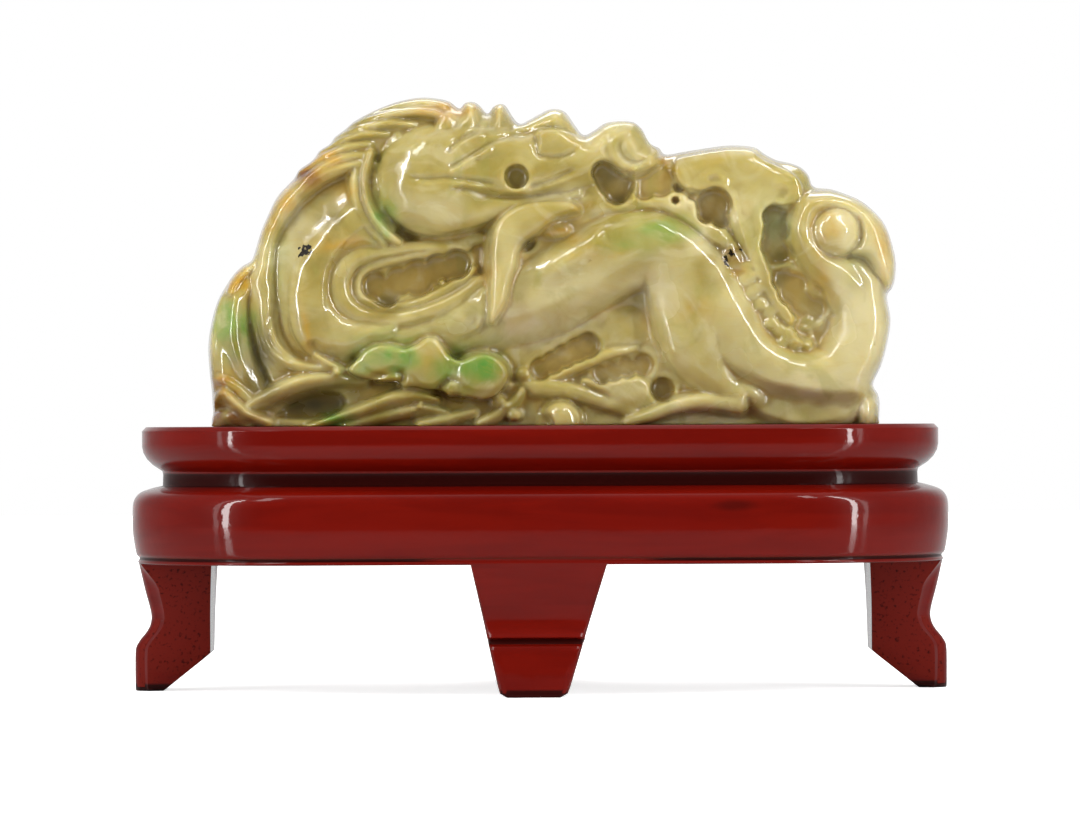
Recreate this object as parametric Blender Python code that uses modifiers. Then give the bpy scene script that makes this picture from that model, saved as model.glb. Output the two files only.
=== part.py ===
"""Jade dragon carving on its red lacquered wooden stand.

Two pieces: "jade_dragon", one carved stone, and "wooden_stand", one carved
block of wood that it rests on.  The stand's foot soles lie on z = 0 and its
middle is the origin; +X is the dragon's tail end, -Y is the front.

The stone is laid out in its own plan view: x along the stand, h above the
stone's flat underside.  Every form is a rounded band or plate that stands
`front` millimetres out of the middle plane on both faces of the stone, so
the back is the mirror of the front, and the recesses are blind drillings.
"""
import math

import bmesh
import bpy
import numpy as np
from mathutils import Vector

MM = 0.001

# --- Stand, in millimetres -------------------------------------------------
STAND_HALF_LENGTH = 89.0
STAND_HALF_DEPTH = 48.0
STAND_CORNER_RADIUS = 38.0
STAND_CORNER_STEPS = 8

# (height, inset) of the outside, the same all the way round.
STAND_PROFILE = [
    (0.0, 0.0),    # foot sole
    (9.5, 0.0),    # top of the toe
    (12.4, 0.8),
    (16.1, 3.0),   # ankle crease
    (18.0, 3.2),
    (22.7, 2.3),
    (29.7, 0.8),
    (36.5, 0.0),   # fullest part of the apron
    (41.4, 0.3),
    (43.6, 2.1),
    (45.0, 6.0),
    (45.8, 6.7),   # waist groove
    (47.3, 6.7),
    (49.2, 5.6),
    (53.0, 2.1),   # under-chamfer of the top slab
    (56.8, 2.1),
    (57.8, 3.1),   # eased top edge
]
STAND_TOP = STAND_PROFILE[-1][0]

# (height, inset) of the hollow underneath: bevelled feet, then straight walls.
HOLLOW_PROFILE = [(-1.0, 5.0), (0.0, 6.2), (8.3, 16.7), (40.0, 17.1)]

APRON_BOTTOM = 28.2
LEG_LEFT, LEG_RIGHT = (-8.7, -14.9), (5.5, 14.1)   # edges of front leg: sole, apron
END_LEG = (7.1, 14.5)                              # half widths of end legs: sole, apron
CUTTER_REACH = 100.0

# --- Stone, in millimetres -------------------------------------------------
REST_GAP = 0.3                  # keeps the two meshes apart where the stone rests
STONE_BASE = STAND_TOP + REST_GAP
RIM_REACH = 15.0                # the pebble is rounded this far in from its outline
RIM_THICKNESS = 0.45            # what is left of the thickness at the outline itself
GROUND_FRONT = 16.5             # ground between the forms, drilled by the pockets
BELLY_FRONT = 13.0              # lower ground under the arched body
VOXEL = 1.1
STONE_TRIANGLES = 7400
BAND_SIDES = 16
DOME_STEPS = 3                  # rings in a band's rounded end

CORE_OUTLINE = [
    (-71, -4), (-71.5, 12), (-70.5, 23), (-66, 32), (-61, 39), (-56, 49), (-47, 59),
    (-37, 66.5), (-25, 70), (-12, 66.5), (2, 67), (12, 63), (21, 64), (27, 58), (40, 60),
    (50, 57.5), (60, 51), (70, 48), (75.5, 41), (76.5, 30), (75.5, 16), (72.5, 7), (73, -4),
]

# Bands: (x, h, half width) along the middle line.
TRUNK = [
    (-38, 52, 8), (-47, 46, 8), (-53, 37, 9), (-54.5, 28, 8.5), (-51, 20, 8), (-43, 17.5, 6),
    (-33, 18, 6), (-23, 19.5, 6.5), (-12, 23.5, 7.5), (0, 28.3, 8.3), (10, 34, 8.5),
    (19, 38, 8.3), (27, 37.5, 8.5), (34, 31, 9), (39, 22, 9.5), (45, 13, 9), (55, 7, 9),
    (65, 8.5, 8.5), (70.5, 16, 7.5), (71, 24, 6), (68.5, 31, 5.5),
]
TAIL_CURL = [
    (68, 27, 4.5), (62.5, 33, 3.8), (58, 39, 3), (57.5, 44, 2.6), (60, 47.7, 2.8),
    (65, 49, 2.5), (70.5, 46.5, 3.5), (74, 41, 4), (75, 35, 3.5), (76, 31, 2),
]
SNOUT = [(-15, 57, 7), (-5, 56.5, 6.5), (5, 57.5, 6), (12, 58.5, 5)]
LOWER_JAW = [(-14, 46, 4), (-4, 46, 3.6), (3, 47.5, 3), (9, 50.5, 2.6)]
NOSE_CURL = [
    (8, 60, 2.2), (13, 63.5, 2.2), (19, 64.5, 2.2), (23.5, 61.5, 2.2), (24, 57.5, 2.2),
    (20.5, 55.3, 2),
]
BEARD = [(8, 47, 2), (2, 46.3, 2.7), (-4, 44.5, 3.6), (-7.7, 40, 3), (-8.5, 33, 2.4),
         (-9, 27, 1.6), (-9.8, 22.8, 0.8)]
MANE_OUTER = [(-37.5, 58.5, 2.2), (-49, 55, 2.2), (-58, 46, 2.4), (-61.5, 35, 2.6),
              (-60, 20, 2.8), (-52, 13, 3)]
MANE_TOP = [(-17, 68, 1.8), (-25, 70, 1.9), (-32, 69, 1.9), (-39, 66.3, 1.8), (-48, 59, 1.5)]
MANE_MIDDLE = [(-22, 66, 1.8), (-33, 66.2, 1.8), (-44, 61.2, 1.6), (-54, 53.5, 1.4)]
MANE_DOWN = [(-36.5, 58, 1.6), (-37.5, 52, 1.8), (-36, 45.5, 1.8), (-31.5, 40.5, 1.4)]
CREST_BACK = [(-14.5, 64, 2), (-14.5, 69.2, 1.5)]
CREST_FRONT = [(-9, 64, 2), (-8.3, 68.7, 1.4)]
HIND_LEG = [(31, 27, 7), (31.5, 19, 6.5), (34.5, 12, 5), (39, 7.5, 3.2), (43.5, 5, 2.5)]
SOLE = [(19, 1.8, 1.6), (25, 3, 1.8), (31, 4.5, 2), (37, 5, 2), (44, 4, 1.8)]
POCKET_LIP = [(-42, 30, 1.5), (-39, 25, 1.6), (-33, 23.5, 1.6), (-25, 24.2, 1.6),
              (-17, 29, 1.6), (-13, 33, 1.5)]
SLOT_RIDGE = [(0, 9, 1.3), (8, 13, 1.3), (20, 16, 1.3)]
STRAP = [(45, 51, 3.5), (46.5, 42, 2), (49.5, 33, 2), (53, 25, 2)]
WAVES = [
    [(-64, 4, 1.6), (-55, 8.5, 1.6), (-47, 10, 1.6), (-38, 9.5, 1.5)],
    [(-50, 0.5, 2), (-42, 2.5, 2), (-30, 6.5, 1.6), (-22, 6, 1.5)],
    [(-71, 2, 3.5), (-66, 2.5, 3), (-60, 1, 2.5)],
    [(-20, 1, 2.5), (-5, 1, 2.5), (8, 1, 2.5)],
]
FIN_RIM = [(30, 57.6, 1.5), (38, 58.8, 1.6), (46, 59.2, 1.6), (53, 55.5, 1.6), (57, 51.5, 1.4)]

# Plates: (x, h) round the outline.
CLOUD_OUTLINE = [
    (-41.5, 12), (-37, 16.8), (-33.5, 17.6), (-30, 16.8), (-24, 18.9), (-21, 17.8), (-17, 14.2),
    (-12.5, 15.2), (-7.3, 12.5), (-8, 7.5), (-12.5, 5), (-19, 7), (-23, 5.6), (-31, 9.3),
]
LEAF_OUTLINE = [(-63, 36), (-70, 28), (-72.3, 19), (-72, 5), (-66, 4), (-61, 9), (-61, 18),
                (-62.5, 28)]
FIN_OUTLINE = [(28, 58.9), (42, 60.9), (50, 58.8), (59, 54.2), (60, 49), (50, 47), (38, 51),
               (28, 50)]
LOBE_OUTLINE = [(66, 48), (72, 47.5), (76.5, 41), (78.2, 35), (77, 29), (72, 33), (66.5, 36.5)]

# Balls: (x, h), radii (along x, along h), front.
BALLS = {
    "cheek": ((-22, 53), (12.5, 12), 27),
    "brow": ((3.5, 65), (4.3, 4.3), 24),
    "nostril": ((19.5, 60), (5.3, 5.3), 25),
    "tail ball": ((64.5, 41), (4.8, 4.8), 24),
    "wave ball": ((5, 2.5), (4, 3.8), 24),
    "thigh": ((31, 28), (9.5, 9), 25),
    "lower tusk": ((17, 20), (4.5, 3.4), 15),
}

BELLY_OUTLINE = [(-5, 9), (2, 17), (10, 23.5), (18, 27), (24.5, 25), (25.5, 16), (29, 10.5),
                 (28, 5), (12, 7)]

# Drillings: (x, h, radius) and how deep they reach towards the middle plane.
POCKETS = {
    "loop": (10.5, [(-35.5, 30, 3), (-31, 29.5, 3.6), (-26.5, 32, 4), (-22, 33.5, 3.6),
                    (-18, 34.7, 3.2)]),
    "mouth": (11, [(14.2, 54.5, 2.6), (16.6, 50.8, 2.9), (22.5, 51.5, 2.8), (26.2, 52.8, 3.3)]),
    "fin hole": (10.5, [(38, 47.5, 3.8), (36.5, 44.5, 2), (39.5, 43.2, 2)]),
    "strap hole": (10.5, [(51, 44.5, 2.6), (51.5, 41, 2.7), (51.2, 37.5, 2.6)]),
    "tail hole": (10.5, [(53, 31, 2.6), (54.8, 28.5, 3), (57, 26, 3), (60, 25, 2.6)]),
    "long slot": (11, [(0.3, 12, 2.6), (3.6, 13.8, 2.6), (7, 15.6, 2.6), (10.3, 17.5, 2.6)]),
    "short slot": (11, [(13.5, 10.8, 2.3), (18, 11.8, 2.5), (22.5, 12.7, 2.6)]),
    "round hole": (11, [(26.7, 7.4, 2.6)]),
    "wave hole": (9, [(-55, 4.6, 2.6), (-51.5, 4.8, 2.8), (-47.5, 5.4, 2.4), (-44, 5.8, 1.8)]),
    "eye": (18.5, [(-5.1, 54.2, 2.6)]),
    "beard pit": (12, [(-2.4, 38.8, 1.6), (0.5, 40.3, 1.8)]),
    "lip pit": (12, [(9.5, 48, 2)]),
}


def place(x, h, y=0.0):
    """World position, in metres, of a place on the stone given in millimetres."""
    return Vector((x * MM, y * MM, (STONE_BASE + h) * MM))


def new_object(name, mesh, collection):
    obj = bpy.data.objects.new(name, mesh)
    collection.objects.link(obj)
    return obj


def loft(name, rings, collection):
    """Closed solid through rings of equally many points, with a flat cap at each end."""
    bm = bmesh.new()
    loops = [[bm.verts.new(point) for point in ring] for ring in rings]
    for near, far in zip(loops, loops[1:]):
        for i, start in enumerate(near):
            j = (i + 1) % len(near)
            bm.faces.new((start, near[j], far[j], far[i]))
    bm.faces.new(loops[0])
    bm.faces.new(loops[-1])
    bmesh.ops.recalc_face_normals(bm, faces=bm.faces)
    mesh = bpy.data.meshes.new(name)
    bm.to_mesh(mesh)
    bm.free()
    mesh.shade_smooth()
    mesh.set_sharp_from_angle(angle=math.radians(30))
    return new_object(name, mesh, collection)


def smooth_path(points, steps=3):
    """Points of a Catmull-Rom curve through `points`, `steps` to each span."""
    ends = [points[0], *points, points[-1]]
    path = []
    for a, b, c, d in zip(ends, ends[1:], ends[2:], ends[3:]):
        for step in range(steps):
            t = step / steps
            path.append([
                0.5 * (2 * q + (r - p) * t + (2 * p - 5 * q + 4 * r - s) * t * t
                       + (3 * q - p - 3 * r + s) * t ** 3)
                for p, q, r, s in zip(a, b, c, d)
            ])
    return path + [list(points[-1])]


def band_section(x, h, across, half_width, front):
    """Ring of a band: half round on both faces of the stone, straight sides between."""
    ring = []
    round_y = min(half_width, front)
    for i in range(BAND_SIDES):
        angle = 2 * math.pi * (i + 0.5) / BAND_SIDES
        side = math.copysign(front - round_y, math.sin(angle))
        offset = across * (half_width * math.cos(angle))
        ring.append(place(x + offset.x, h + offset.y, side + round_y * math.sin(angle)))
    return ring


def band(name, points, front, collection):
    """Rounded band along (x, h, half width) points, domed at both ends."""
    path = smooth_path(points)
    rings = []
    for i, (x, h, half_width) in enumerate(path):
        before, after = path[max(i - 1, 0)], path[min(i + 1, len(path) - 1)]
        along = Vector((after[0] - before[0], after[1] - before[1])).normalized()
        across = Vector((-along.y, along.x))
        rings.append(band_section(x, h, across, half_width, front))
        if i in (0, len(path) - 1):
            outward = along if i else -along
            dome = []
            for step in range(1, DOME_STEPS + 1):
                angle = 0.45 * math.pi * step / DOME_STEPS
                middle = Vector((x, h)) + outward * (half_width * math.sin(angle))
                narrow = half_width * math.cos(angle)
                dome.append(band_section(*middle, across, narrow, front - half_width + narrow))
            rings = rings + dome if i else dome[::-1] + rings
    return loft(name, rings, collection)


def plate(name, outlines, front, rounding, collection):
    """Flat plate with smooth, rounded rims, `front` thick each way; an inner outline is a hole."""
    curve = bpy.data.curves.new(name, "CURVE")
    curve.dimensions = "2D"
    curve.fill_mode = "BOTH"
    curve.resolution_u = 4
    curve.extrude = (front - rounding) * MM
    curve.bevel_depth = rounding * MM
    curve.bevel_resolution = 1
    curve.offset = -rounding * MM
    for outline in outlines:
        spline = curve.splines.new("BEZIER")
        spline.bezier_points.add(len(outline) - 1)
        spline.use_cyclic_u = True
        for point, (x, h) in zip(spline.bezier_points, outline):
            point.co = (x * MM, h * MM, 0)
            point.handle_left_type = point.handle_right_type = "AUTO"
    flat = bpy.data.objects.new(name, curve)
    collection.objects.link(flat)
    flat.rotation_euler = (math.pi / 2, 0, 0)
    flat.location = place(0, 0)
    bpy.context.view_layer.update()
    solid = new_object(name, mesh_of(flat), collection)
    solid.matrix_world = flat.matrix_world.copy()
    bpy.data.objects.remove(flat)
    return solid


def polar(x, h):
    """Angle and distance of places (arrays) from the middle of the stone's base."""
    above = np.maximum(h, 0)
    return np.arctan2(above, x), np.hypot(above, x)


def rim_distance(x, h):
    """How far places (arrays, in millimetres) lie inside the outline, seen from its middle."""
    rim_angles, rim_radii = polar(*np.array(smooth_path(CORE_OUTLINE))[::-1].T)
    angles, radii = polar(x, h)
    return np.interp(angles, rim_angles, rim_radii) - radii


def make_pebble(obj):
    """Rounds the slab off like a pebble: it thins towards its outline, but not its base."""
    places = np.empty(len(obj.data.vertices) * 3)
    obj.data.vertices.foreach_get("co", places)
    places = places.reshape(-1, 3)
    inward = rim_distance(places[:, 0] / MM, places[:, 2] / MM - STONE_BASE) / RIM_REACH
    fullness = np.sqrt(1 - (1 - np.clip(inward, 0, 1)) ** 2)
    places[:, 1] *= RIM_THICKNESS + (1 - RIM_THICKNESS) * fullness
    obj.data.vertices.foreach_set("co", places.ravel())


def mesh_of(obj):
    """The object's evaluated mesh, with loose caps welded on."""
    evaluated = obj.evaluated_get(bpy.context.evaluated_depsgraph_get())
    mesh = bpy.data.meshes.new_from_object(evaluated)
    bm = bmesh.new()
    bm.from_mesh(mesh)
    bmesh.ops.remove_doubles(bm, verts=bm.verts, dist=0.00001)
    bmesh.ops.recalc_face_normals(bm, faces=bm.faces)
    bm.to_mesh(mesh)
    bm.free()
    return mesh


def ball(name, middle, radii, front, collection):
    """Ellipsoid whose near and far poles stand `front` out of the middle plane."""
    bpy.ops.mesh.primitive_uv_sphere_add(segments=24, ring_count=12, radius=MM)
    obj = bpy.context.object
    obj.name = name
    depth = max(*radii)
    obj.scale = (radii[0], depth, radii[1])
    obj.location = place(*middle, -(front - depth))
    move_to(obj, collection)
    return obj


def drilling(name, x, h, radius, depth, side, collection):
    """Round blind hole from one face of the stone; side is -1 at the front, 1 at the back."""
    reach = 40.0
    bpy.ops.mesh.primitive_cylinder_add(
        vertices=16, radius=radius * MM, depth=(reach - depth) * MM,
        location=place(x, h, side * (reach + depth) / 2), rotation=(math.pi / 2, 0, 0),
    )
    obj = bpy.context.object
    obj.name = name
    move_to(obj, collection)
    return obj


def move_to(obj, collection):
    for other in list(obj.users_collection):
        other.objects.unlink(obj)
    collection.objects.link(obj)


def joined(name, pieces, collection):
    """One object that holds the meshes of all the pieces, in world coordinates."""
    bpy.context.view_layer.update()
    bm = bmesh.new()
    for piece in pieces:
        mesh = piece.data
        mesh.transform(piece.matrix_world)
        bm.from_mesh(mesh)
        bpy.data.objects.remove(piece)
    mesh = bpy.data.meshes.new(name)
    bm.to_mesh(mesh)
    bm.free()
    return new_object(name, mesh, collection)


def fuse(obj, voxel):
    """Makes one skin of everything in the object's mesh."""
    modifier = obj.modifiers.new("Fuse", "REMESH")
    modifier.mode = "VOXEL"
    modifier.voxel_size = voxel * MM


def cut(obj, cutter, name):
    modifier = obj.modifiers.new(name, "BOOLEAN")
    modifier.operation = "DIFFERENCE"
    modifier.object = cutter
    cutter.hide_render = True
    cutter.display_type = "WIRE"


def thin_out(obj, triangles):
    """Leaves about `triangles` triangles of the shape that the object has by now."""
    bpy.context.view_layer.update()
    shape = obj.evaluated_get(bpy.context.evaluated_depsgraph_get()).data
    shape.calc_loop_triangles()
    modifier = obj.modifiers.new("Thin out", "DECIMATE")
    modifier.ratio = triangles / len(shape.loop_triangles)


def material(name, colour, roughness):
    made = bpy.data.materials.new(name)
    made.use_nodes = True
    shader = made.node_tree.nodes["Principled BSDF"]
    shader.inputs["Base Color"].default_value = (*colour, 1)
    shader.inputs["Roughness"].default_value = roughness
    return made


def rounded_rectangle(height, inset):
    """Ring of the stand's plan at one height, moved in by `inset`."""
    radius = STAND_CORNER_RADIUS - inset
    ring = []
    for quarter, (sx, sy) in enumerate([(1, 1), (-1, 1), (-1, -1), (1, -1)]):
        middle_x = sx * (STAND_HALF_LENGTH - STAND_CORNER_RADIUS)
        middle_y = sy * (STAND_HALF_DEPTH - STAND_CORNER_RADIUS)
        for step in range(STAND_CORNER_STEPS + 1):
            angle = math.pi / 2 * (quarter + step / STAND_CORNER_STEPS)
            ring.append(Vector((middle_x + radius * math.cos(angle),
                                middle_y + radius * math.sin(angle), height)) * MM)
    return ring


def arch_cutter(side_x, side_y, leg_edges, collection):
    """Block that clears one corner below the apron; its inner edges follow the legs' taper."""
    sole = Vector((leg_edges[0], side_y * END_LEG[0]))
    apron = Vector((leg_edges[1], side_y * END_LEG[1]))
    lean = (apron - sole) / APRON_BOTTOM
    outer = Vector((side_x, side_y)) * CUTTER_REACH
    rings = []
    for height in (-5.0, APRON_BOTTOM):
        inner = sole + lean * height
        corners = [inner, (outer.x, inner.y), outer, (inner.x, outer.y)]
        rings.append([Vector((x, y, height)) * MM for x, y in corners])
    return loft("arch cutter", rings, collection)


def build_stand(parts, cutters):
    """The stand: a moulded block, hollowed from below, with arches cut between four legs."""
    stand = loft("wooden_stand", [rounded_rectangle(*level) for level in STAND_PROFILE], parts)
    hollow = loft("hollow", [rounded_rectangle(*level) for level in HOLLOW_PROFILE], cutters)
    cut(stand, hollow, "Hollow")
    for side_y in (-1, 1):
        cut(stand, arch_cutter(-1, side_y, LEG_LEFT, cutters), "Arch")
        cut(stand, arch_cutter(1, side_y, LEG_RIGHT, cutters), "Arch")
    stand.data.materials.append(material("Red lacquer", (0.16, 0.006, 0.003), 0.18))
    return stand


def stone_forms(parts):
    """Every raised form of the carving, still as separate overlapping solids."""
    forms = [
        plate("core", [CORE_OUTLINE], BELLY_FRONT, 3, parts),
        plate("ground", [CORE_OUTLINE, BELLY_OUTLINE], GROUND_FRONT, 3, parts),
        plate("cloud", [CLOUD_OUTLINE], 26, 2, parts),
        plate("leaf", [LEAF_OUTLINE], 19, 3, parts),
        plate("fin", [FIN_OUTLINE], 19, 2, parts),
        plate("tail lobe", [LOBE_OUTLINE], 20, 3, parts),
    ]
    fronts = [
        (TRUNK, 22), (TAIL_CURL, 24), (SNOUT, 25), (LOWER_JAW, 23), (NOSE_CURL, 24), (BEARD, 27),
        (MANE_OUTER, 22), (MANE_TOP, 22), (MANE_MIDDLE, 22), (MANE_DOWN, 24), (CREST_BACK, 15),
        (CREST_FRONT, 15), (HIND_LEG, 24), (SOLE, 24), (POCKET_LIP, 19), (SLOT_RIDGE, 15.5),
        (STRAP, 20), (FIN_RIM, 21), *((wave, 23) for wave in WAVES),
    ]
    forms += [band("band", points, front, parts) for points, front in fronts]
    for name, (middle, radii, front) in BALLS.items():
        forms.append(ball(name, middle, radii, front, parts))
        forms.append(ball(name, middle, radii, 2 * max(radii) - front, parts))
    return forms


def build_stone(parts, cutters):
    """The carving: all its forms fused, drilled, thinned out and sawn flat below."""
    stone = joined("jade_dragon", stone_forms(parts), parts)
    fuse(stone, VOXEL)
    stone.data = mesh_of(stone)
    stone.modifiers.clear()
    make_pebble(stone)
    stone.data.shade_smooth()
    drills = [
        drilling(name, *hole, depth, side, cutters)
        for name, (depth, holes) in POCKETS.items() for hole in holes for side in (-1, 1)
    ]
    drillings = joined("drillings", drills, cutters)
    fuse(drillings, VOXEL)
    cut(stone, drillings, "Drill")
    thin_out(stone, STONE_TRIANGLES)
    bpy.ops.mesh.primitive_cube_add(size=1, location=place(0, -10))
    saw = bpy.context.object
    saw.name = "saw"
    saw.scale = (200 * MM, 100 * MM, 20 * MM)
    move_to(saw, cutters)
    cut(stone, saw, "Flat underside")
    stone.data.materials.append(material("Jade", (0.48, 0.40, 0.16), 0.12))
    return stone


def main():
    for obj in list(bpy.data.objects):
        bpy.data.objects.remove(obj)
    parts = bpy.data.collections.new("Jade dragon carving")
    cutters = bpy.data.collections.new("Cutters")
    for collection in (parts, cutters):
        bpy.context.scene.collection.children.link(collection)
    build_stand(parts, cutters)
    build_stone(parts, cutters)


main()
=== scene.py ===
"""Finished look of the jade dragon carving on its red lacquered stand.

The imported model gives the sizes; two finished pieces stand for its nodes:
the carving, in fine relief, and the stand, with its mouldings and lacquer.
The stone is laid out in its own plan, in millimetres: x along the stand, h
above the stone's flat underside, and a height out of the middle plane.
"""
import logging
import math
from collections.abc import Sequence
from dataclasses import dataclass, field
from enum import Enum

import bmesh
import bpy
import numpy as np
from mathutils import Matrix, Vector


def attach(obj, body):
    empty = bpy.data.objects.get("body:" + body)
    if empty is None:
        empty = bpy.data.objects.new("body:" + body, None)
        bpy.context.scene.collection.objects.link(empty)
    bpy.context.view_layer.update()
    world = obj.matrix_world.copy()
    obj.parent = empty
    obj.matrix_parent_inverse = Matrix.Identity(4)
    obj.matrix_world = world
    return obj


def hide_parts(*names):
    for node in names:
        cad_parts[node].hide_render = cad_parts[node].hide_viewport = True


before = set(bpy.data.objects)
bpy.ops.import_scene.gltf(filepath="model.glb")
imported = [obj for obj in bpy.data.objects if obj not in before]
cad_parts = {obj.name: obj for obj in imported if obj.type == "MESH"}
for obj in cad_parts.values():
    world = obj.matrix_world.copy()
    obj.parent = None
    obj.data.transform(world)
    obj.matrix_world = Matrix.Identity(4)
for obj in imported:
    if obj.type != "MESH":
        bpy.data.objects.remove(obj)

LOG = logging.getLogger("jade_dragon")
MM = 0.001
FLANK = 4       # how steeply a raised form falls away outside its edge
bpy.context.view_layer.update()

Places = Sequence[Sequence[float]]      # rows of (x, h), or of (x, h, half width)
Spread = float | Sequence[float]        # one value, or several spread evenly along a path
Socket = bpy.types.NodeSocket


def smooth_path(points: Places, steps: int = 6, closed: bool = False) -> np.ndarray:
    """Points of a Catmull-Rom curve.

    Args:
        points: The places that the curve runs through, each with any number of values.
        steps: How many points each span gets.
        closed: Whether the last place runs on into the first.

    Returns:
        An array with one row for each point.
    """
    p = np.array(points, dtype=float)
    ends = (p[-1:], p, p[:2]) if closed else (p[:1], p, p[-1:])
    p = np.concatenate(ends)
    a, b, c, d = p[:-3, None], p[1:-2, None], p[2:-1, None], p[3:, None]
    t = (np.arange(steps) / steps)[None, :, None]
    curve = 0.5 * (2 * b + (c - a) * t + (2 * a - 5 * b + 4 * c - d) * t ** 2
                   + (3 * b - a - 3 * c + d) * t ** 3)
    curve = curve.reshape(-1, p.shape[1])
    return curve if closed else np.concatenate([curve, p[-1:]])


def circle(x: float, h: float, radius: float, start: float = 0.0, turn: float = 360.0) -> list:
    """Places round a circle, in degrees from +x, anticlockwise.

    Args:
        x: Middle of the circle along the stand.
        h: Middle of the circle above the stone's base.
        radius: Its radius.
        start: Where the arc starts.
        turn: How far it runs.

    Returns:
        A list of (x, h) places.
    """
    count = max(3, round(abs(turn) / 30))
    angles = [math.radians(start + turn * i / count) for i in range(count + 1)]
    return [(x + radius * math.cos(a), h + radius * math.sin(a)) for a in angles]


def soft_max(a: np.ndarray, b: np.ndarray, blend: float) -> np.ndarray:
    """The greater of two heights, rounded over `blend` where they cross."""
    share = np.clip(0.5 + 0.5 * (b - a) / blend, 0, 1)
    return a + (b - a) * share + blend * share * (1 - share)


def ease(value: np.ndarray) -> np.ndarray:
    """Smooth step from 0 to 1."""
    value = np.clip(value, 0, 1)
    return value * value * (3 - 2 * value)


def enclosed(x: np.ndarray, h: np.ndarray, path: np.ndarray) -> np.ndarray:
    """Finds the places inside a closed path, by counting how often it is crossed.

    Args:
        x: Places along the stand.
        h: Their heights.
        path: Rows of (x, h), of which the last is the first again.

    Returns:
        True for each place that lies inside.
    """
    crossed = np.zeros(len(x), dtype=bool)
    for a, b in zip(path, path[1:]):
        if a[1] != b[1]:
            at = a[0] + (h - a[1]) * (b[0] - a[0]) / (b[1] - a[1])
            crossed ^= ((a[1] > h) != (b[1] > h)) & (x < at)
    return crossed


class Side(Enum):
    """Faces of the stone, by the way they look along y."""

    FRONT = -1
    BACK = 1


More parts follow.
